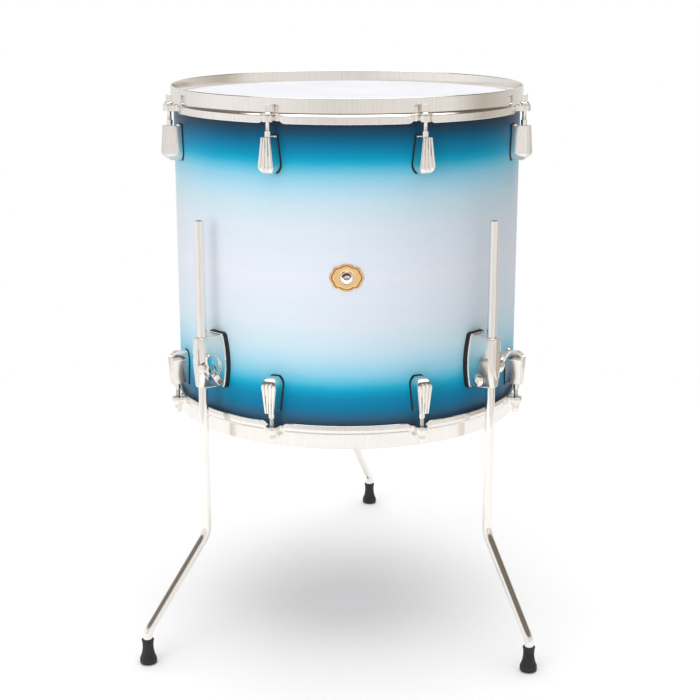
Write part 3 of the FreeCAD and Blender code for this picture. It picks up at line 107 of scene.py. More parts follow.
def linear(red, green, blue):
    """A linear colour from one given in 0 to 255 screen values."""
    parts = []
    for part in (red, green, blue):
        share = part / 255
        parts.append(share / 12.92 if share <= 0.04045 else ((share + 0.055) / 1.055) ** 2.4)
    return tuple(parts)


def principled(name, colour, **inputs):
    """A material whose constants are set on the shader's own sockets."""
    material = bpy.data.materials.new(name)
    material.use_nodes = True
    shader = material.node_tree.nodes["Principled BSDF"]
    shader.inputs["Base Color"].default_value = (*colour, 1)
    for socket, number in inputs.items():
        shader.inputs[socket.replace("_", " ")].default_value = number
    return material, material.node_tree, shader


def object_place(tree, stretch=(1, 1, 1)):
    """Coordinates fixed to the piece, in metres times a stretch along each axis."""
    coordinates = add_node(tree, "TexCoord")
    mapping = add_node(tree, "Mapping", {"Vector": coordinates.outputs["Object"], "Scale": stretch})
    return mapping.outputs["Vector"]


def grain(tree, scale, detail=4.0, stretch=(1, 1, 1)):
    """Noise with about this many grains to a metre."""
    inputs = {"Vector": object_place(tree, stretch), "Scale": scale, "Detail": detail}
    return add_node(tree, "TexNoise", inputs).outputs["Fac"]


def remap(tree, factor, low, high, start=0.3, end=0.7):
    """A factor between start and end turned into a number between low and high."""
    inputs = {"Value": factor, "From Min": start, "From Max": end, "To Min": low, "To Max": high}
    return add_node(tree, "MapRange", inputs).outputs["Result"]


def from_axis(tree):
    """How far a place is from the drum's axis."""
    inputs = {0: object_place(tree), 1: AXIS}
    offset = add_node(tree, "VectorMath", inputs, operation="SUBTRACT").outputs[0]
    inputs = {0: offset, 1: (1, 1, 0)}
    flat = add_node(tree, "VectorMath", inputs, operation="MULTIPLY").outputs[0]
    return add_node(tree, "VectorMath", {0: flat}, operation="LENGTH").outputs["Value"]


def blend(tree, first, second, factor, how="MIX"):
    """Two colours mixed by a factor; the node's colour sockets come after its number sockets."""
    mixed = add_node(tree, "Mix", data_type="RGBA", blend_type=how)
    for place, source in ((0, factor), (6, first), (7, second)):
        if isinstance(source, bpy.types.NodeSocket):
            tree.links.new(source, mixed.inputs[place])
        else:
            mixed.inputs[place].default_value = source
    return mixed.outputs[2]


def tinted(tree, shader, factor, first, second):
    """Vary the base colour between two colours by a factor."""
    ramp = add_node(tree, "ValToRGB", {"Fac": factor})
    ramp.color_ramp.elements[0].position = 0.35
    ramp.color_ramp.elements[0].color = (*first, 1)
    ramp.color_ramp.elements[1].position = 0.65
    ramp.color_ramp.elements[1].color = (*second, 1)
    tree.links.new(ramp.outputs["Color"], shader.inputs["Base Color"])


def bumped(tree, shader, height, depth):
    """Bump of this depth in metres."""
    bump = add_node(tree, "Bump", {"Height": height, "Distance": depth, "Strength": 1.0})
    tree.links.new(bump.outputs["Normal"], shader.inputs["Normal"])


# ---------------------------------------------------------------- materials

# distance from the nearer end of the drum as a share of its length, and the lacquer's colour there
FADE = (
    (0.030, (38, 56, 70)),
    (0.050, (34, 64, 88)),
    (0.070, (16, 84, 116)),
    (0.090, (4, 106, 146)),
    (0.120, (2, 136, 178)),
    (0.140, (2, 156, 196)),
    (0.155, (32, 174, 210)),
    (0.175, (96, 196, 226)),
    (0.200, (146, 212, 236)),
    (0.240, (184, 225, 243)),
    (0.280, (207, 232, 244)),
    (0.350, (224, 236, 246)),
    (0.500, (234, 239, 249)),
)

# the same nearest the bottom end, where the lacquer is not as dark as at the top
LOWER_FADE = (
    (0.030, (62, 88, 110)),
    (0.050, (54, 94, 122)),
    (0.070, (32, 110, 148)),
    (0.090, (4, 122, 164)),
)

LACQUER_DEEP = 0.9 * MM  # how far under the shell's outside the wood has turned into lacquer
LACQUER_THIN = 0.6 * MM
POLISHED = 0.2 * MM  # how far above the badge's face its brass is at its brightest

WHITE = linear(234, 239, 249)
WOOD_DARK = linear(74, 42, 26)
WOOD = linear(120, 76, 50)

def lacquer():
    """White lacquer that fades through blue to near black at both ends, with brown wood inside."""
    material, tree, shader = principled(
        "fade_lacquer", WHITE, Roughness=0.36, Specular_IOR_Level=0.14)
    parts = add_node(tree, "SeparateXYZ", {"Vector": object_place(tree)})
    cloud = remap(tree, grain(tree, 9.0, 3.0), -0.004, 0.004)
    share = remap(tree, parts.outputs["Z"], 0.0, 1.0, SHELL_LOW.z, SHELL_HIGH.z)
    uneven = add_node(tree, "Math", {0: share, 1: cloud}, operation="ADD")
    ramp = add_node(tree, "ValToRGB", {"Fac": uneven.outputs["Value"]})
    stops = list(LOWER_FADE + FADE[len(LOWER_FADE):])
    stops += [(1 - where, colour) for where, colour in reversed(FADE[:-1])]
    elements = ramp.color_ramp.elements
    while len(elements) < len(stops):
        elements.new(0.5)
    for element, (where, colour) in zip(elements, stops):
        element.position = where
        element.color = (*linear(*colour), 1)
    fibres = grain(tree, 900.0, 3.0, (0.06, 0.06, 1.0))
    shade = remap(tree, fibres, 0.975, 1.0)
    painted = blend(tree, ramp.outputs["Color"], shade, 1.0, "MULTIPLY")
    wood = add_node(tree, "ValToRGB", {"Fac": fibres})
    wood.color_ramp.elements[0].color = (*WOOD_DARK, 1)
    wood.color_ramp.elements[1].color = (*WOOD, 1)
    outside = remap(tree, from_axis(tree), 0.0, 1.0,
                    SHELL_RADIUS - LACQUER_DEEP, SHELL_RADIUS - LACQUER_THIN)
    coloured = blend(tree, wood.outputs["Color"], painted, outside)
    tree.links.new(coloured, shader.inputs["Base Color"])
    tree.links.new(remap(tree, grain(tree, 260.0), 0.30, 0.42), shader.inputs["Roughness"])
    bumped(tree, shader, grain(tree, 700.0), 0.006 * MM)
    return material


def metal(name, light, dark, smooth, rough, scale, depth, stretch=(1, 1, 1)):
    """A metal whose colour, roughness and surface vary with the same kind of grain."""
    material, tree, shader = principled(name, light, Metallic=1.0, Roughness=smooth)
    tinted(tree, shader, grain(tree, scale * 0.6, 6.0, stretch), dark, light)
    tree.links.new(remap(tree, grain(tree, scale, 5.0, stretch), smooth, rough), shader.inputs["Roughness"])
    bumped(tree, shader, grain(tree, scale * 1.6, 3.0, stretch), depth * MM)
    return material


def badge_brass():
    """Brass that is polished where it stands out and darker with age in its grooves."""
    material, tree, shader = principled("badge_brass", BRASS, Metallic=1.0, Roughness=0.2)
    radius = from_axis(tree)
    worn = remap(tree, radius, 0.0, 1.0, BADGE_FACE, BADGE_FACE + POLISHED)
    stain = remap(tree, grain(tree, 900.0), -0.15, 0.15)
    uneven = add_node(tree, "Math", {0: worn, 1: stain}, operation="ADD").outputs[0]
    tree.links.new(blend(tree, (*BRASS_DARK, 1), (*BRASS, 1), uneven), shader.inputs["Base Color"])
    tree.links.new(remap(tree, worn, 0.34, 0.18, 0.0, 1.0), shader.inputs["Roughness"])
    bumped(tree, shader, grain(tree, 1400.0, 3.0), 0.003 * MM)
    return material


def head_coat():
    """A film with a fine sprayed coat."""
    material, tree, shader = principled(
        "coated_film", linear(231, 232, 237), Roughness=0.62, Specular_IOR_Level=0.25)
    tinted(tree, shader, grain(tree, 14.0, 3.0), linear(233, 234, 239), linear(238, 239, 243))
    tree.links.new(remap(tree, grain(tree, 500.0), 0.5, 0.75), shader.inputs["Roughness"])
    bumped(tree, shader, grain(tree, 1500.0, 5.0), 0.03 * MM)
    return material


def rubber():
    """Black rubber, a little dusty."""
    material, tree, shader = principled("black_rubber", linear(26, 26, 27), Roughness=0.55)
    tinted(tree, shader, grain(tree, 60.0), linear(20, 20, 21), linear(34, 34, 36))
    tree.links.new(remap(tree, grain(tree, 240.0), 0.45, 0.7), shader.inputs["Roughness"])
    bumped(tree, shader, grain(tree, 1800.0), 0.02 * MM)
    return material


def plug_plastic():
    """The dark plastic of the legs' end plugs."""
    material, tree, shader = principled("plug_plastic", linear(40, 36, 33), Roughness=0.4)
    tinted(tree, shader, grain(tree, 90.0), linear(33, 30, 28), linear(48, 43, 39))
    tree.links.new(remap(tree, grain(tree, 400.0), 0.3, 0.5), shader.inputs["Roughness"])
    bumped(tree, shader, grain(tree, 1500.0), 0.01 * MM)
    return material


NICKEL = linear(246, 242, 238)
NICKEL_DARK = linear(240, 235, 229)
SATIN = linear(241, 237, 232)
SATIN_DARK = linear(235, 230, 224)
BRASS = linear(252, 214, 158)
BRASS_DARK = linear(186, 128, 66)
STEEL = linear(220, 219, 216)
STEEL_DARK = linear(196, 194, 190)
ALUMINIUM = linear(228, 228, 228)
ALUMINIUM_DARK = linear(208, 208, 208)

MATERIALS = {
    "lacquered_wood": lacquer(),
    "badge_brass": badge_brass(),
    "bright_nickel": metal("bright_nickel", NICKEL, NICKEL_DARK, 0.06, 0.13, 1400.0, 0.001, (1, 1, 0.04)),
    "satin_nickel": metal("satin_nickel", SATIN, SATIN_DARK, 0.10, 0.14, 1500.0, 0.0007, (1, 1, 0.05)),
    "leg_chrome": metal("leg_chrome", NICKEL, NICKEL_DARK, 0.04, 0.10, 1200.0, 0.001, (1, 1, 0.05)),
    "head_film": head_coat(),
    "flesh_aluminium": metal("flesh_aluminium", ALUMINIUM, ALUMINIUM_DARK, 0.3, 0.45, 1200.0, 0.004),
    "black_rubber": rubber(),
    "screw_steel": metal("screw_steel", STEEL, STEEL_DARK, 0.18, 0.34, 1600.0, 0.004),
    "plug_plastic": plug_plastic(),
}


def dress(piece, slot):
    """Give a piece the finish of one of the record's material slots."""
    piece.data.materials.clear()
    piece.data.materials.append(MATERIALS[slot])


# ---------------------------------------------------------------- shapes

def finished(mesh, name, smooth_up_to=40.0):
    """An object from a bmesh, smooth except at edges sharper than an angle in degrees."""
    bmesh.ops.recalc_face_normals(mesh, faces=mesh.faces)
    limit = math.radians(smooth_up_to)
    for face in mesh.faces:
        face.smooth = True
    for edge in mesh.edges:
        edge.smooth = len(edge.link_faces) == 2 and edge.calc_face_angle() < limit
    data = bpy.data.meshes.new(name)
    mesh.to_mesh(data)
    mesh.free()
    piece = bpy.data.objects.new(name, data)
    bpy.context.scene.collection.objects.link(piece)
    return piece


def stand_for(piece, node):
    """Show a piece instead of a CAD node, with the node's finish, riding on the node's body."""
    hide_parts(node)
    dress(piece, SLOT_OF[node])
    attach(piece, BODY_OF[node])


def lathe(mesh, profile, steps, place=Matrix.Identity(4)):
    """Rings around Z through a closed profile of (radius, height), or one that ends on the axis."""
    rings = []
    for radius, height in profile:
        if radius < 1e-9:
            rings.append([mesh.verts.new(place @ Vector((0, 0, height)))])
            continue
        ring = []
        for step in range(steps):
            turn = 2 * math.pi * step / steps
            point = Vector((radius * math.cos(turn), radius * math.sin(turn), height))
            ring.append(mesh.verts.new(place @ point))
        rings.append(ring)
    closed = len(rings[0]) > 1 and len(rings[-1]) > 1
    pairs = list(zip(rings, rings[1:]))
    if closed:
        pairs.append((rings[-1], rings[0]))
    for lower, upper in pairs:
        for step in range(steps):
            after = (step + 1) % steps
            corners = [lower[step % len(lower)], lower[after % len(lower)],
                       upper[after % len(upper)], upper[step % len(upper)]]
            corners = list(dict.fromkeys(corners))
            if len(corners) > 2:
                mesh.faces.new(corners)


FLAT_WITHIN = math.radians(0.4)


def inner_edges(mesh):
    """The edges inside flat groups of faces, leaving out the groups that have holes."""
    inner = []
    seen = set()
    for first in mesh.faces:
        if first in seen:
            continue
        seen.add(first)
        patch = [first]
        for face in patch:
            for edge in face.edges:
                for other in edge.link_faces:
                    if other not in seen and other.normal.angle(first.normal, math.pi) < FLAT_WITHIN:
                        seen.add(other)
                        patch.append(other)
        members = set(patch)
        border = []
        between = []
        for edge in dict.fromkeys(edge for face in patch for edge in face.edges):
            shared = sum(other in members for other in edge.link_faces)
            (border if shared == 1 else between).append(edge)
        if between and in_one_loop(border):
            inner += between
    return inner


def in_one_loop(edges):
    """Whether some edges make one closed loop that doesn't touch itself."""
    around = {}
    for edge in edges:
        for vertex in edge.verts:
            around.setdefault(vertex, []).append(edge)
    if any(len(meeting) != 2 for meeting in around.values()):
        return False
    reached = [edges[0]]
    found = {edges[0]}
    for edge in reached:
        for vertex in edge.verts:
            for other in around[vertex]:
                if other not in found:
                    found.add(other)
                    reached.append(other)
    return len(found) == len(edges)


SIDE_FACING = 0.93  # how squarely a bracket's face looks sideways to count as one of its sides
SIDE_TURN = 0.6  # the share of the way that its shading is turned to straight sideways


def softened(node, width, sharper_than=28.0, segments=2):
    """The CAD node with its sharp edges rounded, as cast and tumbled metal is."""
    mesh = bmesh.new()
    mesh.from_mesh(NODES[node].data)
    bmesh.ops.remove_doubles(mesh, verts=mesh.verts, dist=WELD)
    mesh.normal_update()
    bmesh.ops.dissolve_edges(mesh, edges=inner_edges(mesh), use_verts=False)
    limit = math.radians(sharper_than)
    sharp = [edge for edge in mesh.edges
             if len(edge.link_faces) == 2 and edge.calc_face_angle() > limit]
    bmesh.ops.bevel(mesh, geom=sharp, offset=width, offset_type="OFFSET", segments=segments,
                    profile=0.5, affect="EDGES", clamp_overlap=False, miter_outer="SHARP")
    bmesh.ops.remove_doubles(mesh, verts=mesh.verts, dist=WELD)
    piece = finished(mesh, node + "_cast")
    weights = piece.modifiers.new("Weights", "WEIGHTED_NORMAL")
    weights.keep_sharp = True
    stand_for(piece, node)
    return piece


def straightened(piece, node):
    """Turn a bracket's side faces, for their shading only, most of the way to its own sideways."""
    low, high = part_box(node)
    out = (low + high) / 2 - AXIS
    sideways = Vector((-out.y, out.x, 0)).normalized()
    bpy.context.view_layer.update()
    shown = piece.evaluated_get(bpy.context.evaluated_depsgraph_get()).data
    normals = []
    for polygon in shown.polygons:
        facing = polygon.normal.dot(sideways)
        for corner in polygon.loop_indices:
            normal = shown.corner_normals[corner].vector.copy()
            if abs(facing) > SIDE_FACING:
                goal = sideways if facing > 0 else -sideways
                normal = normal.lerp(goal, SIDE_TURN).normalized()
            normals.append(normal)
    piece.modifiers.clear()
    piece.data.normals_split_custom_set(normals)


# ---------------------------------------------------------------- hoops

ROD_RADIUS = 2.6 * MM
ROD_CIRCLE = 214.9 * MM
HOOP_INSIDE = 203.1 * MM
WALL_OUTSIDE = 205.1 * MM
SKIRT_INSIDE = 205.9 * MM
SKIRT_OUTSIDE = 208.2 * MM
PRESS_FACE = 172.3 * MM
SKIRT_EDGE = 163.3 * MM
SKIRT_SIDE = 171.1 * MM
SHOULDER = (207.3 * MM, 172.4 * MM)
SHOULDER_ROUND = 1.4 * MM
WALL_FOOT = 175.3 * MM
WALL_SWEEP = 5.0 * MM
RIM = 190.9 * MM
EAR_LOW = 166.3 * MM
EAR_HIGH = 173.5 * MM
EAR_HALF = 7.0 * MM
EAR_ROOT = 205.95 * MM
EAR_FOOT = (207.6 * MM, 13.0 * MM)
EAR_SIDE = 212.0 * MM
EAR_FLARE = 4.65 * MM
EAR_EDGE = 0.6 * MM
EAR_EDGE_BEND = 0.18 * MM
EAR_HOLE = 3.1 * MM
ARCH_TOP = 9.0 * MM
ARCH_FOOT = 14.0 * MM
HOOP_STEPS = 512
HOLE_STEPS = 24
ARC_EASE = 0.01 * MM  # added to a round top's radius, so that its arc is just under a half circle


def bow(start, finish, radius, side, steps):
    """Points on a short arc between two points, which bows to the left (+1) or right (-1)."""
    start = Vector(start)
    finish = Vector(finish)
    chord = finish - start
    left = Vector((-chord.y, chord.x)).normalized() * side
    radius = max(radius, chord.length / 2)
    centre = (start + finish) / 2 - left * math.sqrt(radius ** 2 - (chord.length / 2) ** 2)
    sweep = 2 * math.asin(min(chord.length / 2 / radius, 1.0))
    points = []
    for step in range(steps + 1):
        turn = -side * sweep * step / steps
        arm = start - centre
        points.append(centre + Vector((arm.x * math.cos(turn) - arm.y * math.sin(turn),
                                       arm.x * math.sin(turn) + arm.y * math.cos(turn))))
    return points


def hoop_section(edge):
    """A hoop's section as (radius, distance from the drum's middle), with its skirt's edge here."""
    wall_round = (WALL_OUTSIDE - HOOP_INSIDE) / 2
    skirt_round = (SKIRT_OUTSIDE - SKIRT_INSIDE) / 2
    points = [Vector((HOOP_INSIDE, PRESS_FACE)), Vector((SKIRT_INSIDE, PRESS_FACE))]
    points += bow((SKIRT_INSIDE, edge + skirt_round), (SKIRT_OUTSIDE, edge + skirt_round),
                  skirt_round + ARC_EASE, -1, 8)
    points += bow((SKIRT_OUTSIDE, SKIRT_SIDE), SHOULDER, SHOULDER_ROUND, -1, 4)
    points += bow(SHOULDER, (WALL_OUTSIDE, WALL_FOOT), WALL_SWEEP, 1, 6)[1:]
    points += bow((WALL_OUTSIDE, RIM - wall_round), (HOOP_INSIDE, RIM - wall_round),
                  wall_round + ARC_EASE, -1, 8)
    return points


def ear_outline(inset):
    """An ear seen along the drum's axis, from its root out and back, drawn in by an inset."""
    half = [Vector((EAR_ROOT, -EAR_FOOT[1]))]
    half += bow((EAR_FOOT[0], -EAR_FOOT[1]), (EAR_SIDE, -EAR_HALF), EAR_FLARE, 1, 8)
    half += bow((ROD_CIRCLE, -EAR_HALF), (ROD_CIRCLE + EAR_HALF, 0), EAR_HALF, -1, 10)
    points = half + [Vector((point.x, -point.y)) for point in reversed(half[:-1])]
    moved = []
    for before, point, after in zip(points[-1:] + points[:-1], points, points[1:] + points[:1]):
        along = (after - before).normalized()
        moved.append(point + Vector((-along.y, along.x)) * inset)
    return moved


def loop_of(mesh, points, place, height):
    """A closed loop of vertices at one height."""
    return [mesh.verts.new(place @ Vector((point.x, point.y, height))) for point in points]


def skin(mesh, lower, upper):
    """Faces between two closed loops with as many vertices."""
    for index in range(len(lower)):
        after = (index + 1) % len(lower)
        mesh.faces.new((lower[index], lower[after], upper[after], upper[index]))


def make_ear(mesh, place):
    """A hoop's ear with rounded edges and the rod's hole."""
    levels = ((EAR_LOW, EAR_EDGE), (EAR_LOW + EAR_EDGE_BEND, EAR_EDGE_BEND),
              (EAR_LOW + EAR_EDGE, 0.0), (EAR_HIGH - EAR_EDGE, 0.0),
              (EAR_HIGH - EAR_EDGE_BEND, EAR_EDGE_BEND), (EAR_HIGH, EAR_EDGE))
    outer = [loop_of(mesh, ear_outline(inset), place, height) for height, inset in levels]
    circle = []
    for step in range(HOLE_STEPS):
        turn = 2 * math.pi * step / HOLE_STEPS
        circle.append(Vector((ROD_CIRCLE + EAR_HOLE * math.cos(turn), EAR_HOLE * math.sin(turn))))
    inner = [loop_of(mesh, circle, place, height) for height in (EAR_LOW, EAR_HIGH)]
    for lower, upper in zip(outer, outer[1:]):
        skin(mesh, lower, upper)
    skin(mesh, *inner)
    for loops in ((outer[0], inner[0]), (outer[-1], inner[-1])):
        edges = []
        for loop in loops:
            for index in range(len(loop)):
                after = (index + 1) % len(loop)
                edges.append(mesh.edges.get((loop[index], loop[after])))
        bmesh.ops.triangle_fill(mesh, edges=edges, use_beauty=True)


def make_hoop(end):
    """A cast hoop whose skirt arches up at each ear."""
    upright = 1 if end == "batter" else -1
    turns = []
    for number in range(RODS_PER_END):
        rod_low, rod_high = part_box("%s_rod_%d" % (end, number + 1))
        out = (rod_low + rod_high) / 2 - AXIS
        turns.append(math.atan2(out.y, out.x))
    mesh = bmesh.new()
    rings = []
    for step in range(HOOP_STEPS):
        turn = 2 * math.pi * step / HOOP_STEPS
        nearest = min(abs(math.remainder(turn - ear, 2 * math.pi)) for ear in turns)
        arch = (ARCH_FOOT - nearest * SKIRT_OUTSIDE) / (ARCH_FOOT - ARCH_TOP)
        arch = min(max(arch, 0.0), 1.0)
        lift = (EAR_LOW - SKIRT_EDGE) * arch * arch * (3 - 2 * arch)
        ring = []
        for radius, height in hoop_section(SKIRT_EDGE + lift):
            level = MIDDLE.z + upright * height
            ring.append(mesh.verts.new((AXIS.x + radius * math.cos(turn),
                                        AXIS.y + radius * math.sin(turn), level)))
        rings.append(ring)
    for ring, following in zip(rings, rings[1:] + rings[:1]):
        skin(mesh, ring, following)
    for turn in turns:
        tipped = Matrix.Diagonal((1, 1, upright, 1))
        place = Matrix.Translation(MIDDLE) @ tipped @ Matrix.Rotation(turn, 4, "Z")
        make_ear(mesh, place)
    stand_for(finished(mesh, end + "_hoop_cast", 35.0), end + "_hoop")


# ---------------------------------------------------------------- badge

# the badge's raised border and raised field: steps as (share of its outline, height in millimetres)
BORDER = ((0.995, -0.2), (0.99, 0.1), (0.97, 0.3), (0.93, 0.3), (0.91, 0.1), (0.90, -0.2))
FIELD = ((0.83, -0.2), (0.82, 0.1), (0.80, 0.22))
FIELD_HOLE = ((7.55, 0.22), (7.4, 0.1), (7.4, -0.2))
FACING_OUT = -0.8  # along Y, for the faces on the badge's front
FRONT_FROM = 0.4 * MM  # above the shell, between the badge's back and its front
BEADS = 30
BEAD_SHARE = 0.69
BEAD_RADIUS = 0.55 * MM


def badge_edge(mesh, middle):
    """The badge's outline, in order, as (way around the drum, height) from its middle."""
    faces_out = [face for face in mesh.faces
                 if face.normal.y < FACING_OUT
                 and (face.calc_center_median() - AXIS).xy.length > SHELL_RADIUS + FRONT_FROM]
    inside = set(faces_out)
    following = {}
    for face in faces_out:
        for loop in face.loops:
            other = [near for near in loop.edge.link_faces if near is not face]
            if not other or other[0] not in inside:
                following[loop.vert] = loop.link_loop_next.vert
    first = max(following, key=lambda vertex: vertex.co.x)
    points = []
    vertex = first
    while True:
        place = vertex.co - AXIS
        points.append(Vector((math.atan2(place.x, -place.y) * BADGE_FACE, place.z - middle)))
        vertex = following[vertex]
        if vertex is first:
            return points


def on_badge(across, up, height, middle):
    """A place at a height in millimetres above the badge's face."""
    turn = across / BADGE_FACE
    radius = BADGE_FACE + height * MM
    return AXIS + Vector((radius * math.sin(turn), -radius * math.cos(turn), middle + up))


def make_badge():
    """The badge with two raised borders that follow its edge and a row of beads between them."""
    low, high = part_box("badge")
    middle = (low.z + high.z) / 2
    mesh = bmesh.new()
    mesh.from_mesh(NODES["badge"].data)
    bmesh.ops.remove_doubles(mesh, verts=mesh.verts, dist=WELD)
    mesh.normal_update()
    edge = badge_edge(mesh, middle)
    border = [[mesh.verts.new(on_badge(point.x * share, point.y * share, height, middle))
               for point in edge] for share, height in BORDER]
    field = [[mesh.verts.new(on_badge(point.x * share, point.y * share, height, middle))
              for point in edge] for share, height in FIELD]
    for radius, height in FIELD_HOLE:
        circle = [point.normalized() * radius * MM for point in edge]
        field.append([mesh.verts.new(on_badge(point.x, point.y, height, middle))
                      for point in circle])
    for loops in (border, field):
        for lower, upper in zip(loops, loops[1:] + loops[:1]):
            skin(mesh, lower, upper)
    lengths = [0.0]
    for point, after in zip(edge, edge[1:] + edge[:1]):
        lengths.append(lengths[-1] + (after - point).length)
    for bead in range(BEADS):
        target = lengths[-1] * bead / BEADS
        index = max(place for place in range(len(edge)) if lengths[place] <= target)
        share = (target - lengths[index]) / (lengths[index + 1] - lengths[index])
        spot = edge[index].lerp(edge[(index + 1) % len(edge)], share) * BEAD_SHARE
        made = bmesh.ops.create_icosphere(mesh, subdivisions=2, radius=BEAD_RADIUS)
        centre = on_badge(spot.x, spot.y, FIELD[-1][1], middle)
        bmesh.ops.translate(mesh, vec=centre, verts=made["verts"])
    stand_for(finished(mesh, "badge_relief", 50.0), "badge")


# ---------------------------------------------------------------- tension rods

ROD_SHANK = 48.2 * MM
THREAD_PITCH = 1.058 * MM
THREAD_DEPTH = 0.42 * MM
THREAD_TURNS = 17
RINGS_PER_TURN = 6
ROD_STEPS = 24
ROD_TIP = 0.5 * MM
FLANGE_RADIUS = 5.4 * MM
FLANGE_TALL = 1.6 * MM
FLANGE_EDGE = 0.35 * MM
FLANGE_SLOPE = 1.6
FLANGE_STEPS = 40
HEAD_WIDE = 6.6 * MM
HEAD_TALL = 8.7 * MM
HEAD_ROUND = 0.75 * MM
HEAD_TOP = 0.1 * MM  # vertices this near a CAD rod's end are its head's top corners


def thread(mesh, low, high, steps, place):
    """A threaded stretch of a rod: rings whose radius follows a helix."""
    rings = round((high - low) / THREAD_PITCH * RINGS_PER_TURN)
    grid = []
    for ring in range(rings + 1):
        height = low + (high - low) * ring / rings
        row = []
        for step in range(steps):
            turn = step / steps
            phase = (height / THREAD_PITCH - turn) % 1.0
            depth = THREAD_DEPTH * abs(2 * phase - 1)
            radius = ROD_RADIUS - depth
            angle = 2 * math.pi * turn
            point = Vector((radius * math.cos(angle), radius * math.sin(angle), height))
            row.append(mesh.verts.new(place @ point))
        grid.append(row)
    for lower, upper in zip(grid, grid[1:]):
        for step in range(steps):
            after = (step + 1) % steps
            mesh.faces.new((lower[step], lower[after], upper[after], upper[step]))
    mesh.faces.new(grid[0])
    mesh.faces.new(grid[-1])


def square_head(mesh, low, place):
    """A square head with rounded corners and edges."""
    made = bmesh.ops.create_cube(mesh, size=1.0)
    sized = Matrix.Diagonal((HEAD_WIDE, HEAD_WIDE, HEAD_TALL, 1))
    centred = Matrix.Translation((0, 0, low + HEAD_TALL / 2))
    bmesh.ops.transform(mesh, matrix=place @ centred @ sized, verts=made["verts"])
    edges = dict.fromkeys(edge for vert in made["verts"] for edge in vert.link_edges)
    bmesh.ops.bevel(mesh, geom=list(edges), offset=HEAD_ROUND, offset_type="OFFSET", segments=4,
                    profile=0.5, affect="EDGES", clamp_overlap=True)


def make_rod(node):
    """A threaded rod with a round flange and a square head, where the CAD rod is."""
    low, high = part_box(node)
    centre = (low + high) / 2
    upright = 1 if node.startswith("batter") else -1
    tip = low.z if upright > 0 else high.z
    heads_up = Matrix.Identity(4) if upright > 0 else Matrix.Rotation(math.pi, 4, "X")
    head_end = max(upright * vertex.co.z for vertex in NODES[node].data.vertices)
    top = [vertex.co for vertex in NODES[node].data.vertices
           if upright * vertex.co.z > head_end - HEAD_TOP]
    corner = max(top, key=lambda place: (place - centre).xy.length) - centre
    turn = math.atan2(corner.y, corner.x) - math.pi / 4
    place = Matrix.Translation((centre.x, centre.y, tip)) @ heads_up
    mesh = bmesh.new()
    start = ROD_SHANK - THREAD_TURNS * THREAD_PITCH
    lathe(mesh, ((0, 0), (ROD_RADIUS - ROD_TIP, 0), (ROD_RADIUS, ROD_TIP),
                 (ROD_RADIUS, start), (0, start)), ROD_STEPS, place)
    thread(mesh, start, ROD_SHANK, ROD_STEPS, place)
    lathe(mesh, ((0, ROD_SHANK), (FLANGE_RADIUS - FLANGE_EDGE, ROD_SHANK),
                 (FLANGE_RADIUS, ROD_SHANK + FLANGE_EDGE),
                 (FLANGE_RADIUS, ROD_SHANK + FLANGE_TALL - 2 * FLANGE_EDGE),
                 (FLANGE_RADIUS - FLANGE_SLOPE * FLANGE_EDGE, ROD_SHANK + FLANGE_TALL),
                 (0, ROD_SHANK + FLANGE_TALL)), FLANGE_STEPS, place)
    turned = place @ Matrix.Rotation(upright * turn, 4, "Z")
    square_head(mesh, ROD_SHANK + FLANGE_TALL, turned)
    stand_for(finished(mesh, node + "_finish", 35.0), node)


# ---------------------------------------------------------------- studio

FLOOR_RADIUS = 1.1
FLOOR_PALE = (0.935, 0.935, 0.935)
FLOOR_SHADE = (0.925, 0.925, 0.925)

OVERHEAD_STRENGTH = 2.05
OVERHEAD_SPREAD = 66.0  # degrees, like its height and side
OVERHEAD_HEIGHT = 83.0
OVERHEAD_SIDE = 168.0

KEY_PLACE = (-1.1, -1.8, 0.9)  # from the foot of the drum's axis
KEY_SIZE = (1.2, 1.2)
KEY_POWER = 11.0

INNER_POWER = 1.5
INNER_RADIUS = 0.1


def make_floor():
    """A pale, plain floor, wide enough for the drum's soft shadow."""
    material, tree, shader = principled("studio_floor", (0.93, 0.93, 0.93), Roughness=0.9)
    tinted(tree, shader, grain(tree, 3.0), FLOOR_SHADE, FLOOR_PALE)
    mesh = bmesh.new()
    bmesh.ops.create_circle(mesh, cap_ends=True, radius=FLOOR_RADIUS, segments=96)
    floor = finished(mesh, "studio_floor")
    floor.data.materials.append(material)


def key_light():
    """A soft light in front, on the left, that bright metal doesn't mirror."""
    data = bpy.data.lights.new("key", "AREA")
    data.shape = "RECTANGLE"
    data.size, data.size_y = KEY_SIZE
    data.energy = KEY_POWER
    light = bpy.data.objects.new("key", data)
    light.visible_glossy = False
    bpy.context.scene.collection.objects.link(light)
    light.location = AXIS + Vector(KEY_PLACE)
    light.rotation_euler = (MIDDLE - light.location).to_track_quat("-Z", "Y").to_euler()


# direction around the studio in degrees, 0 from the camera's side and positive to its right; the
# light that bright metal mirrors from there; and the light from there that falls on plain surfaces.
# The two are set apart from each other, so together they are not one real room.
STUDIO = (
    (-180, (0.82, 0.82, 0.82), 0.56),
    (-120, (0.86, 0.86, 0.87), 0.38),
    (-90, (0.98, 0.98, 0.98), 0.40),
    (-45, (0.94, 0.93, 0.93), 0.66),
    (-10, (0.80, 0.79, 0.78), 0.70),
    (30, (0.87, 0.85, 0.84), 0.58),
    (70, (0.88, 0.86, 0.84), 0.36),
    (95, (0.54, 0.50, 0.44), 0.22),
    (121, (0.66, 0.63, 0.59), 0.20),
    (150, (0.76, 0.76, 0.76), 0.42),
    (180, (0.82, 0.82, 0.82), 0.60),
)

# how much dimmer metal mirrors the studio above its walls, up to the overhead light, and how high
# that band starts, is full, stops being full and ends, as the sine of the angle above level
CEILING = (0.24, 0.21, 0.18)
CEILING_BAND = (0.30, 0.46, 0.80, 0.92)


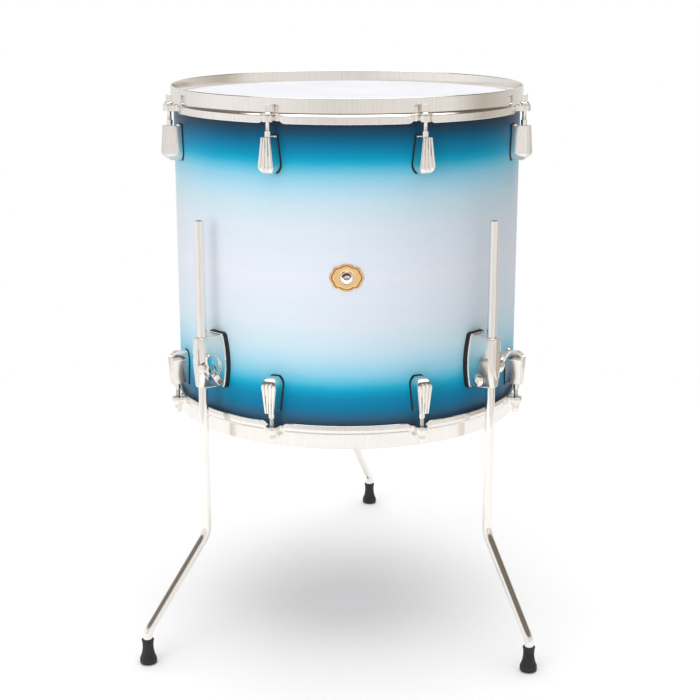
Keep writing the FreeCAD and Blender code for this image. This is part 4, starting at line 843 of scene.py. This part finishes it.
def around_ramp(tree, turn, stops):
    """A ramp of colours by direction around the studio."""
    ramp = add_node(tree, "ValToRGB", {"Fac": remap(tree, turn, 0, 1, -math.pi, math.pi)})
    elements = ramp.color_ramp.elements
    while len(elements) < len(stops):
        elements.new(0.5)
    for element, (direction, colour) in zip(elements, stops):
        element.position = (direction + 180) / 360
        element.color = (*colour, 1)
    return ramp.outputs["Color"]


def make_world():
    """A white studio, dimmer on the right, that the camera sees as plain white."""
    world = bpy.data.worlds.new("Studio")
    world.use_nodes = True
    tree = world.node_tree
    tree.nodes.clear()
    direction = add_node(tree, "TexCoord").outputs["Generated"]
    parts = add_node(tree, "SeparateXYZ", {"Vector": direction})
    front = add_node(tree, "Math", {0: parts.outputs["Y"], 1: -1.0}, operation="MULTIPLY")
    turn = add_node(tree, "Math", {0: parts.outputs["X"], 1: front.outputs[0]},
                    operation="ARCTAN2").outputs[0]
    mirrored = around_ramp(tree, turn, [(where, colour) for where, colour, plain in STUDIO])
    fallen = around_ramp(tree, turn, [(where, (plain,) * 3) for where, colour, plain in STUDIO])
    up = add_node(tree, "ValToRGB", {"Fac": parts.outputs["Z"]})
    up.color_ramp.elements[0].position = CEILING_BAND[0]
    up.color_ramp.elements[0].color = (1, 1, 1, 1)
    up.color_ramp.elements[1].position = CEILING_BAND[3]
    up.color_ramp.elements[1].color = (1, 1, 1, 1)
    for where in CEILING_BAND[1:3]:
        up.color_ramp.elements.new(where).color = (*CEILING, 1)
    mirrored = blend(tree, mirrored, up.outputs["Color"], 1.0, "MULTIPLY")
    path = add_node(tree, "LightPath")
    light = blend(tree, mirrored, fallen, path.outputs["Is Diffuse Ray"])
    seen = blend(tree, light, (1, 1, 1, 1), path.outputs["Is Camera Ray"])
    studio = add_node(tree, "Background", {"Color": seen})
    add_node(tree, "OutputWorld", {"Surface": studio.outputs[0]})
    bpy.context.scene.world = world
    bpy.context.scene.view_settings.view_transform = "Standard"


def inner_light():
    """The light that comes into the drum through its white heads, seen through the vent."""
    data = bpy.data.lights.new("through_heads", "POINT")
    data.energy = INNER_POWER
    data.shadow_soft_size = INNER_RADIUS
    light = bpy.data.objects.new("through_heads", data)
    light.location = MIDDLE
    bpy.context.scene.collection.objects.link(light)


def overhead_light():
    """One big soft light, nearly straight above the drum."""
    data = bpy.data.lights.new("overhead", "SUN")
    data.energy = OVERHEAD_STRENGTH
    data.angle = math.radians(OVERHEAD_SPREAD)
    light = bpy.data.objects.new("overhead", data)
    bpy.context.scene.collection.objects.link(light)
    turn = math.radians(OVERHEAD_SIDE)
    up = math.radians(OVERHEAD_HEIGHT)
    back = Vector((math.sin(turn) * math.cos(up), -math.cos(turn) * math.cos(up), math.sin(up)))
    light.rotation_euler = back.to_track_quat("Z", "Y").to_euler()


# ---------------------------------------------------------------- assembly

LUG_ROUND = 0.25 * MM
CAST_ROUND = 0.5 * MM
TUBE_ROUND = 0.7 * MM
TUBE_ROUND_STEPS = 3
TUBE_SHARP = math.radians(60)

make_camera()
make_world()
inner_light()
make_floor()
overhead_light()
key_light()

for node_name, slot_name in SLOT_OF.items():
    dress(NODES[node_name], slot_name)
make_badge()
for end in ENDS:
    make_hoop(end)
    softened(end + "_lugs", LUG_ROUND)
    for number in range(RODS_PER_END):
        make_rod("%s_rod_%d" % (end, number + 1))
for side in SIDES:
    straightened(softened("leg_bracket_" + side, CAST_ROUND), "leg_bracket_" + side)
    softened("wing_nut_" + side, CAST_ROUND)
    rounded = NODES["leg_rod_" + side].modifiers.new("Rim", "BEVEL")
    rounded.width = TUBE_ROUND
    rounded.segments = TUBE_ROUND_STEPS
    rounded.limit_method = "ANGLE"
    rounded.angle_limit = TUBE_SHARP
